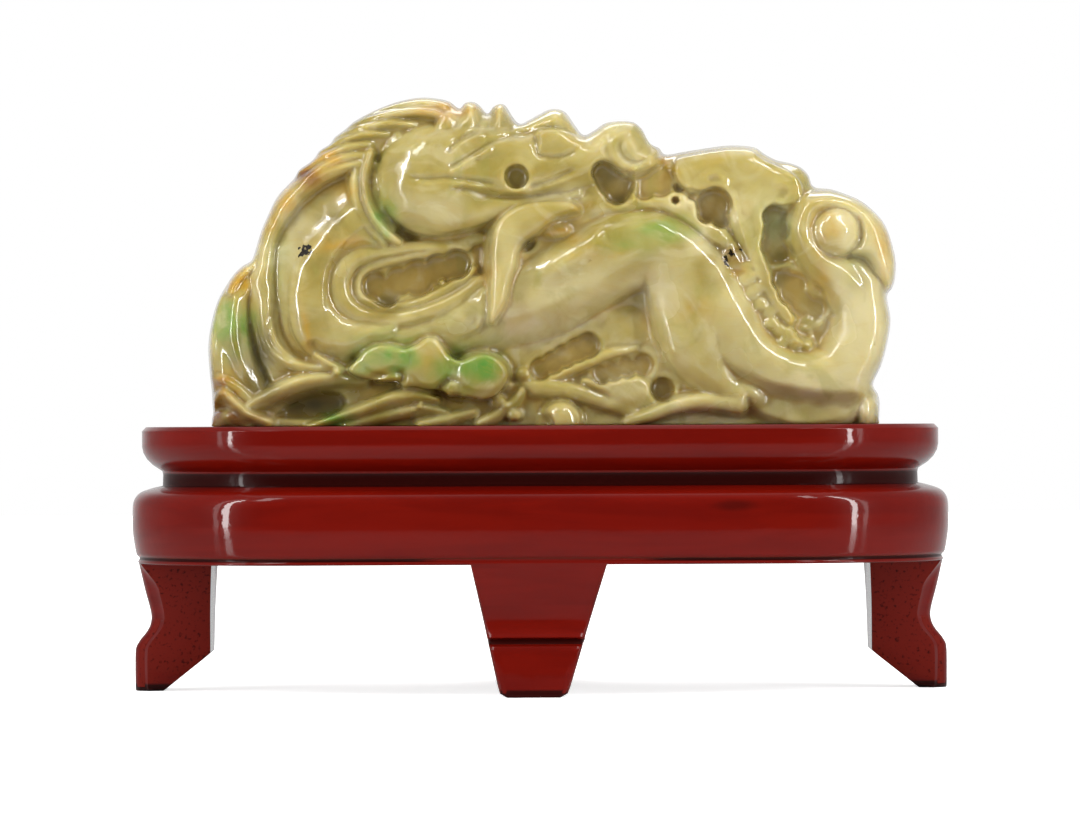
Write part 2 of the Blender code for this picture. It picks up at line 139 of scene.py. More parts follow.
@dataclass
class Relief:
    """One face of the stone: heights out of its middle plane, in millimetres.

    Each method carves one kind of form and changes `out` in place. Forms leave their finest
    work out where the face is `plain`.
    """

    x: np.ndarray
    h: np.ndarray
    ground: float
    plain: bool = False
    out: np.ndarray = field(init=False)

    def __post_init__(self) -> None:
        """Starts from flat ground."""
        self.out = np.full(len(self.x), self.ground)

    def _within(self, path: np.ndarray, margin: float) -> np.ndarray:
        """Finds the places in a path's box.

        Args:
            path: Rows that start with x and h.
            margin: How much wider the box is on each side.

        Returns:
            Their indices.
        """
        low, high = path[:, :2].min(0) - margin, path[:, :2].max(0) + margin
        return np.flatnonzero((self.x > low[0]) & (self.x < high[0])
                              & (self.h > low[1]) & (self.h < high[1]))

    def nearest(self, path: np.ndarray, margin: float) -> tuple:
        """Where places lie along a path.

        Args:
            path: Rows of (x, h) or (x, h, half width).
            margin: How far out places are looked at.

        Returns:
            Indices, offset to the left of travel, share along the path, half width there.
        """
        index = self._within(path, margin)
        px, ph = self.x[index], self.h[index]
        best = np.full(len(index), np.inf)
        side, share, width = (np.zeros(len(index)) for _ in range(3))
        spans = len(path) - 1
        for k, (a, b) in enumerate(zip(path, path[1:])):
            run = b[:2] - a[:2]
            length = max(run @ run, 1e-9)
            t = np.clip(((px - a[0]) * run[0] + (ph - a[1]) * run[1]) / length, 0, 1)
            dx, dh = px - a[0] - t * run[0], ph - a[1] - t * run[1]
            gap = np.hypot(dx, dh)
            closer = gap < best
            best[closer] = gap[closer]
            side[closer] = np.sign(run[0] * dh - run[1] * dx)[closer]
            share[closer] = ((k + t) / spans)[closer]
            if path.shape[1] > 2:
                width[closer] = (a[2] + (b[2] - a[2]) * t)[closer]
        side[side == 0] = 1
        return index, best * side, share, width

    def inside(self, outline: Places, margin: float = 3.0) -> tuple:
        """Signed distance to a closed smooth outline.

        Args:
            outline: The places that the outline runs through.
            margin: How far out places are looked at.

        Returns:
            Indices and distances, which are negative inside.
        """
        path = smooth_path(outline, closed=True)
        path = np.concatenate([path, path[:1]])
        index, offset, _, _ = self.nearest(path, margin)
        crossed = enclosed(self.x[index], self.h[index], path)
        return index, np.where(crossed, -np.abs(offset), np.abs(offset))

    def band(self, points: Places, crest: Spread, fall: Spread = None, lean: Spread = 0.0,
             power: Spread = 2.0, blend: float = 0.5) -> None:
        """Raises a rounded band.

        Args:
            points: Rows of (x, h, half width).
            crest: Height of its crest, one value or several spread along it.
            fall: How far its edges lie below its crest, one value or several; the half width
                if left out.
            lean: Where its crest lies across it, from -1 to 1 at its left edge.
            power: 2 for a round section, less for a sharper crest; one value or several.
            blend: How softly it meets what is there.
        """
        path = smooth_path(points)
        index, offset, share, width = self.nearest(path, path[:, 2].max() + blend + 0.5)
        fall = width if fall is None else fall
        crest, lean, fall, power = (
            np.interp(share, np.linspace(0, 1, len(value)), value) if isinstance(value, tuple) else value
            for value in (crest, lean, fall, power))
        across = offset / width
        across = np.where(across < lean, (lean - across) / (1 + lean), (across - lean) / (1 - lean))
        inner = np.clip(across, 0, 1)
        drop = 1 - np.sqrt(1 - inner ** 2) if np.isscalar(power) and power == 2.0 else inner ** power
        top = crest - fall * drop - FLANK * np.clip(across - 1, 0, None) * width
        self.out[index] = soft_max(self.out[index], top, blend)

    def plate(self, outline: Places, top: float, edge: float, dome: float = 0.0, blend: float = 0.4,
              over: bool = False) -> None:
        """Raises a plate with a rounded rim.

        Args:
            outline: The places that its outline runs through.
            top: Height of its rim's inner edge.
            edge: How wide and how high its rounded rim is.
            dome: How much higher its middle is.
            blend: How softly it meets what is there.
            over: Whether it also covers what is higher.
        """
        index, distance = self.inside(outline)
        rim = np.clip(-distance / edge, 0, 1)
        rise = np.sqrt(1 - (1 - rim) ** 2)
        height = top - edge * (1 - rise) + dome * (1 - np.exp(distance.clip(max=0) / (3 * edge)))
        height -= FLANK * distance.clip(min=0)
        if over:
            share = ease(0.5 - distance / 0.6)
            self.out[index] += (height - self.out[index]) * share
        else:
            self.out[index] = soft_max(self.out[index], height, blend)

    def ball(self, x: float, h: float, rx: float, rh: float, crest: float,
             fall: float = None, blend: float = 0.4) -> None:
        """Raises a dome.

        Args:
            x: Its middle along the stand.
            h: Its middle above the stone's base.
            rx: Half its width.
            rh: Half its height.
            crest: Height of its crest.
            fall: How far its edge lies below its crest; the smaller half width if left out.
            blend: How softly it meets what is there.
        """
        fall = min(rx, rh) if fall is None else fall
        away = np.hypot((self.x - x) / rx, (self.h - h) / rh)
        index = np.flatnonzero(away < 1.3)
        away = away[index]
        top = crest - fall * (1 - np.sqrt(1 - np.clip(away, 0, 1) ** 2))
        top -= FLANK * np.clip(away - 1, 0, None) * min(rx, rh)
        self.out[index] = soft_max(self.out[index], top, blend)

    def line(self, points: Places, height: float, half_width: float, closed: bool = False,
             fade: float = 0.15) -> None:
        """Raises a fine ridge along a line, or cuts a groove.

        Args:
            points: The places that it runs through.
            height: Its height, negative for a groove.
            half_width: Half its width.
            closed: Whether its end runs on into its start.
            fade: The share of its length over which each end fades out.
        """
        path = smooth_path(points, closed=closed)[:, :2]
        if closed:
            path = np.concatenate([path, path[:1]])
        index, offset, share, _ = self.nearest(path, 3 * half_width)
        taper = 1.0 if closed else ease(share / fade) * ease((1 - share) / fade)
        self.out[index] += height * taper * np.exp(-(offset / half_width) ** 2)

    def lower(self, outline: Places, floor: float, edge: float = 1.5) -> None:
        """Cuts the ground inside an outline down.

        Args:
            outline: The places that the outline runs through.
            floor: The height that is left.
            edge: How wide the slope down to it is.
        """
        index, distance = self.inside(outline)
        share = ease(-distance / edge)
        cut = self.out[index] + (floor - self.out[index]) * share
        self.out[index] = np.minimum(self.out[index], cut)

    def drill(self, holes: Places, floor: float, lip: float = 0.35, edge: float = 0.5) -> None:
        """Sinks overlapping round holes with a soft raised lip.

        Args:
            holes: Rows of (x, h, radius).
            floor: Height of their bottom.
            lip: Height of the lip round them.
            edge: How wide their wall is.
        """
        holes = np.array(holes)
        index = self._within(holes[:, :2], holes[:, 2].max() + 3)
        gap = np.min([np.hypot(self.x[index] - x, self.h[index] - h) - r for x, h, r in holes], 0)
        self.out[index] += lip * np.exp(-((gap - 0.8) / 0.6) ** 2)
        wall = ease(0.5 - gap / edge)
        self.out[index] += (floor - self.out[index]) * wall


@dataclass
class Trunk:
    """The long body, from the neck through the arched back to the bend that ends in the tail."""

    neck: tuple = ((-37, 57, 9.5), (-42.5, 51.5, 9.5), (-48.9, 45.3, 9.5), (-52.6, 38, 9.6),
                   (-53.5, 32, 9.5), (-53.2, 25, 9.4), (-51, 18, 8.8), (-45, 13.5, 7))
    centre: tuple = (
        (-47, 21, 4), (-43, 17.8, 5.6),
        (-33, 18, 6), (-23, 19.5, 6.5), (-12, 23.5, 7.8), (0, 28.6, 9.5), (10, 34.3, 9.8),
        (19, 38, 9.2), (27, 37.5, 8.7), (34, 31, 9.2), (39, 22, 9.7), (45, 13, 9.3), (55, 7.4, 9.2),
        (65, 8.8, 8.9), (70, 16, 8.2), (70.5, 24, 7), (68, 31, 5.8))
    crest: tuple = (20.4, 20.2, 20, 20.4, 21.5, 22.3, 22.8, 23, 23, 23, 22.8, 22.4, 22, 21.5, 21,
                    20.5, 19.5)
    lean: tuple = (0.1, 0.1, 0.3, 0.3, 0.3, 0.3, 0.3, 0.3, 0.3, 0.3, 0.3, 0.3, 0.3, 0.3, 0.1, 0, 0)
    fall: tuple = (7.5, 7.5, 7.5, 7, 6.2, 5.8, 6, 6.5, 7.5, 7.5, 7.5, 7.5, 7, 6, 5, 4, 3.5)
    power: tuple = (2.6, 2.6, 2.6, 2.6, 2.6, 2.6, 2.6, 2.6, 2.6, 2.6, 2.6, 2.6, 2.8, 3.2, 3.6, 3.6, 3.6)
    flank: tuple = ((-39.6, 49.4), (-38.2, 48), (-36.5, 44), (-34, 40), (-30, 38.5),
                    (-40, 37), (-44, 33), (-44, 28), (-41, 24), (-30, 22), (-36, 16), (-45, 15),
                    (-50.6, 15.6), (-53.8, 21), (-54.6, 28), (-53.2, 34.5), (-48.6, 41), (-43.4, 46.2))
    coil: tuple = ((-12.5, 40.5, 1.4), (-20, 39.3, 1.6), (-28, 38.1, 1.7), (-35, 37.4, 1.9),
                   (-40, 36.2, 2.2), (-42.9, 33.2, 2.4), (-43.5, 29.5, 2.4), (-42, 26, 2.3),
                   (-38, 23.7, 2.1), (-31, 22.9, 1.9), (-24.5, 24.2, 2), (-18, 27.1, 1.9),
                   (-12.8, 30.8, 1.6))
    coil_groove: tuple = ((-24, 40.4), (-31, 39.8), (-37, 39), (-41.4, 37.4), (-44.4, 34), (-45.2, 29.5),
                          (-43.8, 25.4), (-39.4, 22.6), (-31, 21.6), (-24, 22.6), (-18, 25.2))
    coil_lip: tuple = ((-15.5, 38.7, 0.9), (-22, 37.6, 1), (-28, 36.8, 1), (-34, 35.5, 1.1),
                       (-38, 33.4, 1.1), (-39.5, 30.2, 1.1), (-38.6, 27.2, 1.1), (-34.5, 25.3, 1.1),
                       (-28, 25.8, 1.1), (-23, 27.7, 1.1), (-18, 30.4, 1.1), (-14.6, 33.6, 1))
    fold: tuple = ((-12.6, 30.5), (-12.4, 26), (-12.6, 22.6), (-14.6, 20.2), (-19, 18.8))
    glint: tuple = ((-1, 32), (3, 33.6), (6.5, 35.6), (9.6, 37.6), (12.6, 39.6), (15, 40.6))
    shoulder: tuple = ((-3.6, 37, 2), (0, 39.8, 2.4), (4, 42.2, 2.5), (8.4, 44.6, 2.6), (12, 46.6, 2.2))
    underside: tuple = ((39.5, 14.4), (42, 12.9), (45, 11.2), (50, 9.5), (56, 8.2), (63, 7.3), (72, 7),
                        (76, 5.6), (76, -3), (46.4, -3), (46.2, 4.6), (44.3, 6.6), (41, 8.9),
                        (39.6, 11.6))
    pocket: tuple = ((-40.3, 33), (-41.3, 29.5), (-40, 26.2), (-36, 24.3), (-29, 24.4),
                     (-22.5, 26.2), (-16, 29.6), (-13.5, 34), (-15, 38), (-22, 38.3),
                     (-30, 37.4), (-36, 36))
    crease: tuple = ((-50, 18.5), (-47.3, 15), (-43.5, 13.4), (-39.5, 14))

    def carve(self, relief: Relief) -> None:
        """Raises the body and the coil that lies inside its first bend.

        Args:
            relief: The face that is carved.
        """
        relief.band(self.neck, (20.5, 21.6, 22, 22.2, 22.2, 22, 21, 19.5), fall=13,
                    lean=(0.96, 0.96, 0.92, 0.8, 0.72, 0.66, 0.6, 0.5), power=1.8, blend=2.0)
        relief.band(self.centre, self.crest, self.fall, self.lean, power=self.power, blend=1.5)
        relief.plate(self.flank, 21.7, 3.5, blend=1.5)
        relief.line(self.coil_groove, -0.6, 1.4, fade=0.2)
        relief.band(self.coil, (18.5, 19.4, 19.8, 20.2, 20.8, 21, 21, 21, 20.8, 20.6, 21, 21, 20),
                    fall=1.9, blend=0.8)
        relief.lower(self.underside, 18.2, 4.0)
        relief.line(self.glint, 1.3, 2.6, fade=0.25)
        relief.band(self.shoulder, 20.6, fall=1.5, blend=1.5)
        if relief.plain:
            return
        relief.lower(self.pocket, 17.4, 1.2)
        relief.band(self.coil_lip, 18.8, fall=1.0, blend=0.4)
        relief.line(self.fold, 0.5, 0.7)
        relief.line([(x + 1.3, h - 0.3) for x, h in self.fold], -0.6, 0.7)
        relief.line(self.crease, -1.2, 1.1)


@dataclass
class Tail:
    """The tail, which winds up and over a ball."""

    band: tuple = ((68, 27, 5), (65, 31.5, 4.2), (60.5, 35.3, 3.4), (57.6, 39.6, 2.8),
                   (57.2, 43.5, 2.5), (59, 47.1, 2.4), (63, 48.7, 2.3), (67.5, 48, 2.8),
                   (71.8, 45, 3.4), (74.3, 40.5, 3.8), (75, 35.5, 3.4), (75.6, 31.8, 2.2))
    ridge: tuple = ((70.6, 27.6), (69, 30.4), (66.4, 32.8), (63, 34.7), (60.6, 37), (59.6, 40),
                    (59.5, 43.4), (61, 45.8), (64, 46.6))
    lobe: tuple = ((66, 50), (71.5, 48.3), (75.5, 44.5), (77.3, 40), (78.6, 35), (78, 30.5),
                   (76, 29), (73.4, 32), (70.8, 35.6), (67.5, 36.6), (68.6, 40), (67.8, 44.6))
    ball: tuple = (64.3, 41.2, 5.2, 5.2)
    strokes: tuple = (
        (circle(64.3, 41.1, 5.1, 75, -290), -0.45, 0.8, False, 0.3),
        (circle(65.2, 41.6, 2.6, 120, -200), -0.35, 0.8, False, 0.3),
        (((69.4, 45.5), (69.6, 41.5), (68.8, 37.8)), -0.4, 0.8),
        (((61.5, 37.2), (65.6, 36), (69.4, 36), (72.6, 33.4), (75, 30.4)), -0.45, 1.0))

    def carve(self, relief: Relief) -> None:
        """Raises the lobe, the ball and the band that winds over them.

        Args:
            relief: The face that is carved.
        """
        relief.plate(self.lobe, 20.6, 3.0, dome=1.2, blend=1.2)
        relief.band(self.band, (20.5, 21.2, 22.2, 22.8, 23, 22.8, 22.6, 22.2, 21.8, 21.2, 20, 18.5),
                    fall=2.6, power=2.2, blend=0.6)
        relief.ball(*self.ball, 23.7, fall=3.8, blend=1.2)
        relief.line(self.ridge, 0.3, 0.8)
        for stroke in self.strokes:
            relief.line(*stroke)


@dataclass
class Fin:
    """The flat fin behind the arched back, its hanging strap and the lumpy hem under it."""

    back: tuple = ((27.5, 57.5), (29.5, 60), (35, 60.6), (42, 61.7), (47, 61.5), (50, 59.8),
                   (54, 58.2), (58, 56.8), (60.6, 54), (61.2, 51), (60, 47.6), (55, 46), (42, 50),
                   (34, 51), (28, 53))
    face: tuple = ((29.6, 54), (29.8, 57.4), (32, 58.3), (37, 59.2), (42, 59.8), (46, 59.5),
                   (48.4, 57.6), (52, 56), (55.4, 53.8), (57.2, 51), (56, 47.8), (50.2, 46.6),
                   (48.6, 42), (48.4, 37.5), (50, 32.5), (52.4, 27.5), (55.4, 22.8), (54, 21.4),
                   (50.8, 25), (47.8, 30.6), (45.8, 35.6), (43.9, 41), (42.4, 46.4), (40.6, 50.2),
                   (36, 50.6), (32, 51))
    hem: tuple = ((35.6, 44, 1.8), (38.6, 41.6, 1.8), (41.4, 37.6, 1.9), (43.4, 33.6, 2.2),
                  (45.8, 29.6, 2.3), (48.6, 25, 2.3), (51.4, 20.9, 2.1), (54.8, 17.9, 1.8),
                  (58, 16.9, 1.4))
    lumps: tuple = ((36.2, 43), (38.2, 41.8), (39.8, 39.6), (41.3, 36.6), (42.4, 34.6), (45.2, 34),
                    (45.8, 32), (44, 31), (46, 28), (47.9, 29.2), (48, 25.6), (50.2, 24.2),
                    (50.3, 21.6), (52.2, 20.2), (53.9, 19.4), (53.2, 17.8), (55.6, 17.4))
    seams: tuple = (((9.4, 51.4, 1.6), (12, 50, 1.8), (13.6, 47.2, 1.6)),
                    ((14, 46.6, 1.4), (20, 47.6, 1.5), (24, 48, 1.4), (28, 47.4, 1.4), (32, 45.2, 1.4),
                     (35, 42.8, 1.3), (38, 40.2, 1.1)),
                    ((41.4, 47.6, 1), (43, 43, 1.3), (44.6, 39, 1.2), (45.6, 35.6, 0.9)))
    upper_lip: tuple = ((13.8, 48.3), (16.5, 47.2), (19, 48), (21, 49), (23.4, 48.5), (25.4, 49.2),
                        (27.8, 49.4), (30.4, 48.6), (32.4, 47), (34.2, 45.6))
    side_lip: tuple = ((48.9, 35.4), (50.6, 34), (53, 34.6), (55.2, 34.2), (56.9, 32.4), (59, 30.6),
                       (60.2, 28.4), (61.8, 26.9), (62.8, 24.6), (62.2, 22.2))
    basin: tuple = ((53.6, 22.4), (55.2, 21.4), (58, 20.8), (60.6, 21.2), (62.2, 22.8))
    strokes: tuple = (
        (((36, 51.6), (36.2, 53.6), (38.4, 54.3), (40.2, 53), (40.3, 51)), 0.6, 0.8),
        (((50.6, 51.6), (53, 52), (54.6, 50.2), (53.4, 47.8), (51, 47.8)), 0.5, 0.8),
        (circle(57.4, 18.9, 1.6), 0.45, 0.45, True),
        (((54.6, 20), (55.4, 17.8), (58, 16.6), (61, 17.4), (62.6, 19.6)), 0.5, 0.6))

    def carve(self, relief: Relief) -> None:
        """Raises the fin in two layers, the strap over them and the lumps along the edges.

        Args:
            relief: The face that is carved.
        """
        relief.plate(self.back, 17.8, 1.2, blend=0.6)
        relief.band(self.hem, (18.5, 19, 19.2, 19.4, 19.4, 19.2, 19, 18.6, 18), fall=1.4, blend=1.2)
        relief.plate(self.face, 19.8, 0.9, dome=-0.3, blend=0.5)
        for seam in self.seams:
            relief.band(seam, 20.2 if seam[0][0] < 40 else 18.8, fall=1.2, blend=0.8)
        relief.line(self.face[1:10], 0.45, 0.7)
        if relief.plain:
            return
        relief.line(self.face[19:24], 0.35, 0.6)
        for number, (x, h) in enumerate(self.lumps):
            relief.ball(x, h, 1.5, 1.3, 19.9 - 0.25 * (number % 2), fall=0.7, blend=0.9)
        for x, h in self.upper_lip:
            relief.ball(x, h, 1.8, 1.4, 19.7, fall=0.8, blend=0.9)
        relief.line(self.side_lip, 0.8, 0.7, fade=0.08)
        relief.line(self.basin, 0.6, 0.7)
        for stroke in self.strokes:
            relief.line(*stroke)


@dataclass
class Mane:
    """The mane that sweeps back from the cheek, lock over lock, and its loose ends."""

    bed: tuple = ((-16, 65.5, 4.5), (-24, 66, 5.5), (-32, 65.5, 6), (-40, 61.5, 6),
                  (-48, 56.5, 4.8), (-55, 49.5, 3.8), (-60, 40.5, 3), (-61.3, 30, 3),
                  (-59.6, 20, 3), (-55.5, 14.5, 3))
    locks: tuple = (
        ((-17, 68.6, 1.2), (-24, 70.6, 1.7), (-32, 69.9, 1.7), (-38.5, 67.6, 1.2)),
        ((-18.5, 66.2, 1), (-23, 67.6, 1.4), (-30, 67.9, 1.5), (-37, 66.8, 1.4), (-42, 65.1, 1)),
        ((-27, 65, 0.9), (-32, 65.4, 1.1), (-38.5, 64.9, 1.3), (-44.5, 62.8, 1)),
        ((-33, 63, 0.9), (-38, 63, 1.1), (-43, 61.8, 1.2), (-48.5, 59.4, 0.9)),
        ((-36.5, 60.8, 1), (-41.5, 60.4, 1.3), (-47, 58.5, 1.3), (-53.3, 55, 1)),
        ((-37.6, 58.6, 1.0), (-42, 57.9, 1.3), (-47, 56, 1.3), (-51.5, 52.6, 1.2)),
        ((-39, 56.6, 1.0), (-44, 55.6, 1.5), (-49, 53.8, 2.2), (-54, 50, 2.6), (-58, 45, 2.7),
         (-60.2, 40, 2.7), (-60.6, 34, 2.8), (-59.8, 27.5, 2.7), (-58.6, 20.5, 2.4),
         (-56, 15.6, 1.9), (-52, 13, 1.4), (-46, 12.3, 1)))
    falling: tuple = (
        ((-38, 58.4, 1.2), (-39.8, 53, 1.3), (-39, 47.5, 1.3), (-36.4, 42.7, 1.2), (-33.4, 39.2, 0.8)),
        ((-36.6, 58.8, 1), (-37.8, 52.5, 1.2), (-36.8, 47, 1.4), (-34, 42.4, 1.3), (-30.6, 39.6, 0.9)),
        ((-35.4, 56.5, 0.7), (-35.9, 51, 0.9), (-34.4, 46.5, 1), (-31.6, 42.6, 0.8)))
    hairs: tuple = (
        ((-57.4, 32), (-57.8, 24), (-56.4, 18.4), (-53, 15), (-48, 13.6)),
        ((-56, 29), (-56.2, 22.4), (-54.6, 18), (-51.4, 15.6), (-47.4, 14.6)),
        ((-54.8, 25), (-54.4, 20.4), (-52.6, 17.6), (-50, 16)))
    strokes: tuple = (
        (((-20, 69.3), (-26, 69.4), (-33, 68.6), (-38, 67.2)), -0.8, 0.4),
        (((-22, 66.4), (-29, 66.6), (-36, 65.9), (-43, 63.8)), -0.8, 0.4),
        (((-37, 61.9), (-43, 61), (-48, 58.9)), -0.8, 0.4),
        (((-58.6, 25), (-58.8, 19.5), (-56.6, 15.8), (-53, 13.8)), -0.9, 0.5),
        (((-38.9, 55), (-38.3, 48.5), (-36, 43.6), (-33.4, 40.4)), -0.7, 0.4),
        (((-36.8, 55), (-36.3, 48.5), (-34.2, 43.8)), -0.6, 0.4))

    def carve(self, relief: Relief) -> None:
        """Raises the bed of the mane, then every lock, and cuts fine lines along them.

        Args:
            relief: The face that is carved.
        """
        relief.band(self.bed, (18, 19.5, 20, 20, 19.5, 18, 16.5, 16.5, 16.5, 17), fall=3.5, blend=1.0)
        for number, lock in enumerate(self.locks):
            crest = (22, 20.8, 18.6, 18.4, 20) if number == 6 else (20.8, 21.8, 21.8, 21.2)
            relief.band(lock, crest, fall=1.9, power=1.8, blend=0.4)
        for crest, lock in zip((22.2, 23.2, 21.8), self.falling):
            relief.band(lock, (crest - 1.2, crest, crest, crest - 1.2), fall=2.0, blend=0.4)
        if relief.plain:
            return
        for hair in self.hairs:
            relief.line(hair, -0.9, 0.5, fade=0.3)
        for stroke in self.strokes:
            relief.line(*stroke)


@dataclass
class Head:
    """The head in profile: round cheek, long snout with its curled nose, brow, eye and beard."""

    cheek: tuple = (-22.5, 53, 12.9, 12.2)
    nape: tuple = ((-34.5, 60), (-36.4, 54), (-35.8, 49), (-32.8, 44.4), (-27, 41), (-20, 40.2),
                   (-14, 41.4))
    face: tuple = ((-22, 53.5, 9.5), (-16, 55.5, 8.6), (-9, 56.2, 7.6), (-2, 56.2, 6.8),
                   (5, 56.8, 6.4), (10, 58, 5.6), (14, 59.6, 4.4))
    jaw: tuple = ((-21, 46, 4.5), (-15, 46.6, 4), (-9, 47.4, 2.6), (-3, 48, 1.7), (3, 48.6, 1.5),
                  (8.5, 50, 1.4))
    crown: tuple = ((-23, 62), (-21.5, 66.5), (-18, 69.6), (-15, 72), (-12, 69.4), (-9, 71.6),
                    (-6, 69.4), (-3.4, 66.4), (1, 67), (1, 60), (-10, 58), (-18, 60))
    folds: tuple = (((-17.9, 70), (-17.5, 66.5), (-18.6, 63.8)), ((-15.2, 70), (-15.4, 67)),
                    ((-12.2, 69), (-12.7, 65.5), (-14.2, 62.6)), ((-10, 69), (-10.4, 66), (-11.4, 63.4)),
                    ((-7, 69.5), (-7, 66.4), (-8, 63.8)), ((-4.4, 66.6), (-5, 65), (-6.5, 63.6)))
    brow: tuple = ((-5.4, 63.4), (-4.4, 65.6), (0, 68.4), (4, 70), (7.6, 67.6), (9.8, 63.6), (10.4, 61),
                   (8.6, 61.4), (6.4, 64), (1.4, 64.3), (-2, 63.6))
    knob: tuple = ((-0.5, 58.9), (-0.6, 61.2), (-0.4, 63.3), (2.6, 63.9), (6, 63.4), (9, 62.4),
                   (10.6, 61.2), (9.6, 59.8), (6.6, 58.9), (3, 58.5))
    nose: tuple = ((10, 55.5), (9.8, 60), (10.6, 62.8), (14, 65.2), (17, 66.4), (21, 66), (24, 63.4),
                   (25.4, 60.8), (26.1, 58), (24.9, 55.7), (22.6, 54.6), (20, 54.3), (17.8, 55),
                   (16.2, 56.4), (14, 57), (12.4, 56.2), (11.4, 54), (10.4, 53.4))
    whorl: tuple = ((16, 56.6), (14.6, 59.6), (15.4, 62.4), (18, 64.2), (21.4, 63.9), (23.8, 62),
                    (24.6, 59.4), (23.2, 57.2), (20.6, 56.7), (18.4, 57.8), (17.7, 60), (18.6, 61.9),
                    (20.8, 62.3), (22.4, 60.8), (22, 59), (20.4, 58.8))
    nose_lip: tuple = ((15.8, 57.9), (17.2, 56.4), (19.2, 55.5), (21.8, 55.5), (24, 56.7), (24.9, 59))
    beard: tuple = ((8.6, 46.2), (7, 47.8), (3.5, 48.2), (-0.5, 48), (-4.4, 47.3), (-7.8, 45.2),
                    (-9.8, 41.8), (-10.4, 37), (-10.4, 32), (-10.7, 27), (-10.6, 22),
                    (-9, 23.4), (-7.3, 26.4), (-6.4, 30.5), (-5.2, 34), (-4.7, 37), (-2.8, 39.6),
                    (0.2, 41.8), (3.4, 44.4), (6.6, 45.4))
    lines: tuple = (
        ((-20.5, 55), (-15, 58), (-10, 61), (-5, 62.6), (-0.5, 63.2)),
        ((-20, 58.6), (-17.5, 61.2), (-13.5, 63.4)),
        ((-29, 53.5), (-24, 53.1), (-20, 53.3), (-15, 52.8), (-9, 51.8)),
        ((-20, 50.5), (-17, 50.8), (-14, 50.4), (-11, 49.5), (-7, 49), (-3, 49), (0, 49.5),
         (4, 50.9), (8, 52.4)),
        ((-2.5, 51.3), (0, 51.9), (4, 53.2), (8, 55.2)))
    strokes: tuple = (
        (((-19.5, 54), (-14.5, 57), (-9.5, 59.9)), 0.6, 0.5),
        (((-18.4, 58.9), (-15.6, 61.2), (-11.5, 62.9)), 0.5, 0.5),
        (((-16.4, 55.5), (-14.6, 56.8), (-12.8, 57.4)), -0.5, 0.4),
        (((-20, 52.2), (-14, 51.5), (-8, 50.5), (-1, 50.5)), 0.5, 0.6),
        (((-13, 51.1), (-8, 50.1)), -0.5, 0.35),
        (((-0.5, 63), (-0.6, 60.6), (-0.2, 58.4), (2, 57.7), (5.6, 57.9), (8.8, 59.6)), -1.0, 0.5))
    dents: tuple = ((-30, 61, 30), (-31.4, 57.4, 15), (-31.4, 53.6, 0), (-28, 64, 45))

    def carve(self, relief: Relief) -> None:
        """Raises the head's forms one over the other and cuts the lines of the face.

        Args:
            relief: The face that is carved.
        """
        relief.line(self.nape, -1.6, 1.2)
        relief.plate(self.crown, 22.2, 2.0, blend=1.5)
        for number, fold in enumerate(self.folds):
            relief.line(fold, (-0.7, 0.4)[number == 1], 0.8, fade=0.3)
        relief.ball(*self.cheek, 26.2, fall=8, blend=1.0)
        relief.band(self.face, (25.6, 25.6, 25.4, 25.3, 25, 24.5, 23.5), fall=3.5, power=3.2, blend=2.2)
        relief.band(self.jaw, (24.6, 24.6, 24, 23.2, 22.4, 21.5), fall=3, blend=1.5)
        relief.plate(self.brow, 23.6, 1.8, dome=0.6, blend=0.8)
        relief.plate(self.knob, 24.7, 1.6, dome=0.9, blend=0.6)
        relief.plate(self.nose, 23.4, 1.7, dome=0.7, blend=0.6)
        if relief.plain:
            for line in self.lines[:4:2]:
                relief.line(line, -1.0, 0.6)
            return
        relief.line(self.whorl, -0.6, 0.85, fade=0.08)
        relief.line(self.nose_lip, 0.5, 0.9)
        relief.ball(25.9, 60.2, 1.5, 1.4, 20, fall=1.2)
        relief.ball(3.6, 42, 3.4, 1.9, 22.4, fall=1.6, blend=0.6)
        relief.ball(10.2, 47.4, 2.8, 2.6, 20.8, fall=1.0, blend=0.8)
        relief.plate(self.beard, 25.6, 1.5, dome=0.9, blend=0.5)
        for line in self.lines:
            relief.line(line, -0.85, 0.5)
        for x, h, turn in self.dents:
            across, up = math.cos(math.radians(turn)), math.sin(math.radians(turn))
            relief.line([(x - 3.5 * across, h - 3.5 * up), (x, h + 0.4), (x + 4.5 * across, h + 4.5 * up)],
                        -0.16, 0.7, fade=0.4)
        for stroke in self.strokes:
            relief.line(*stroke)


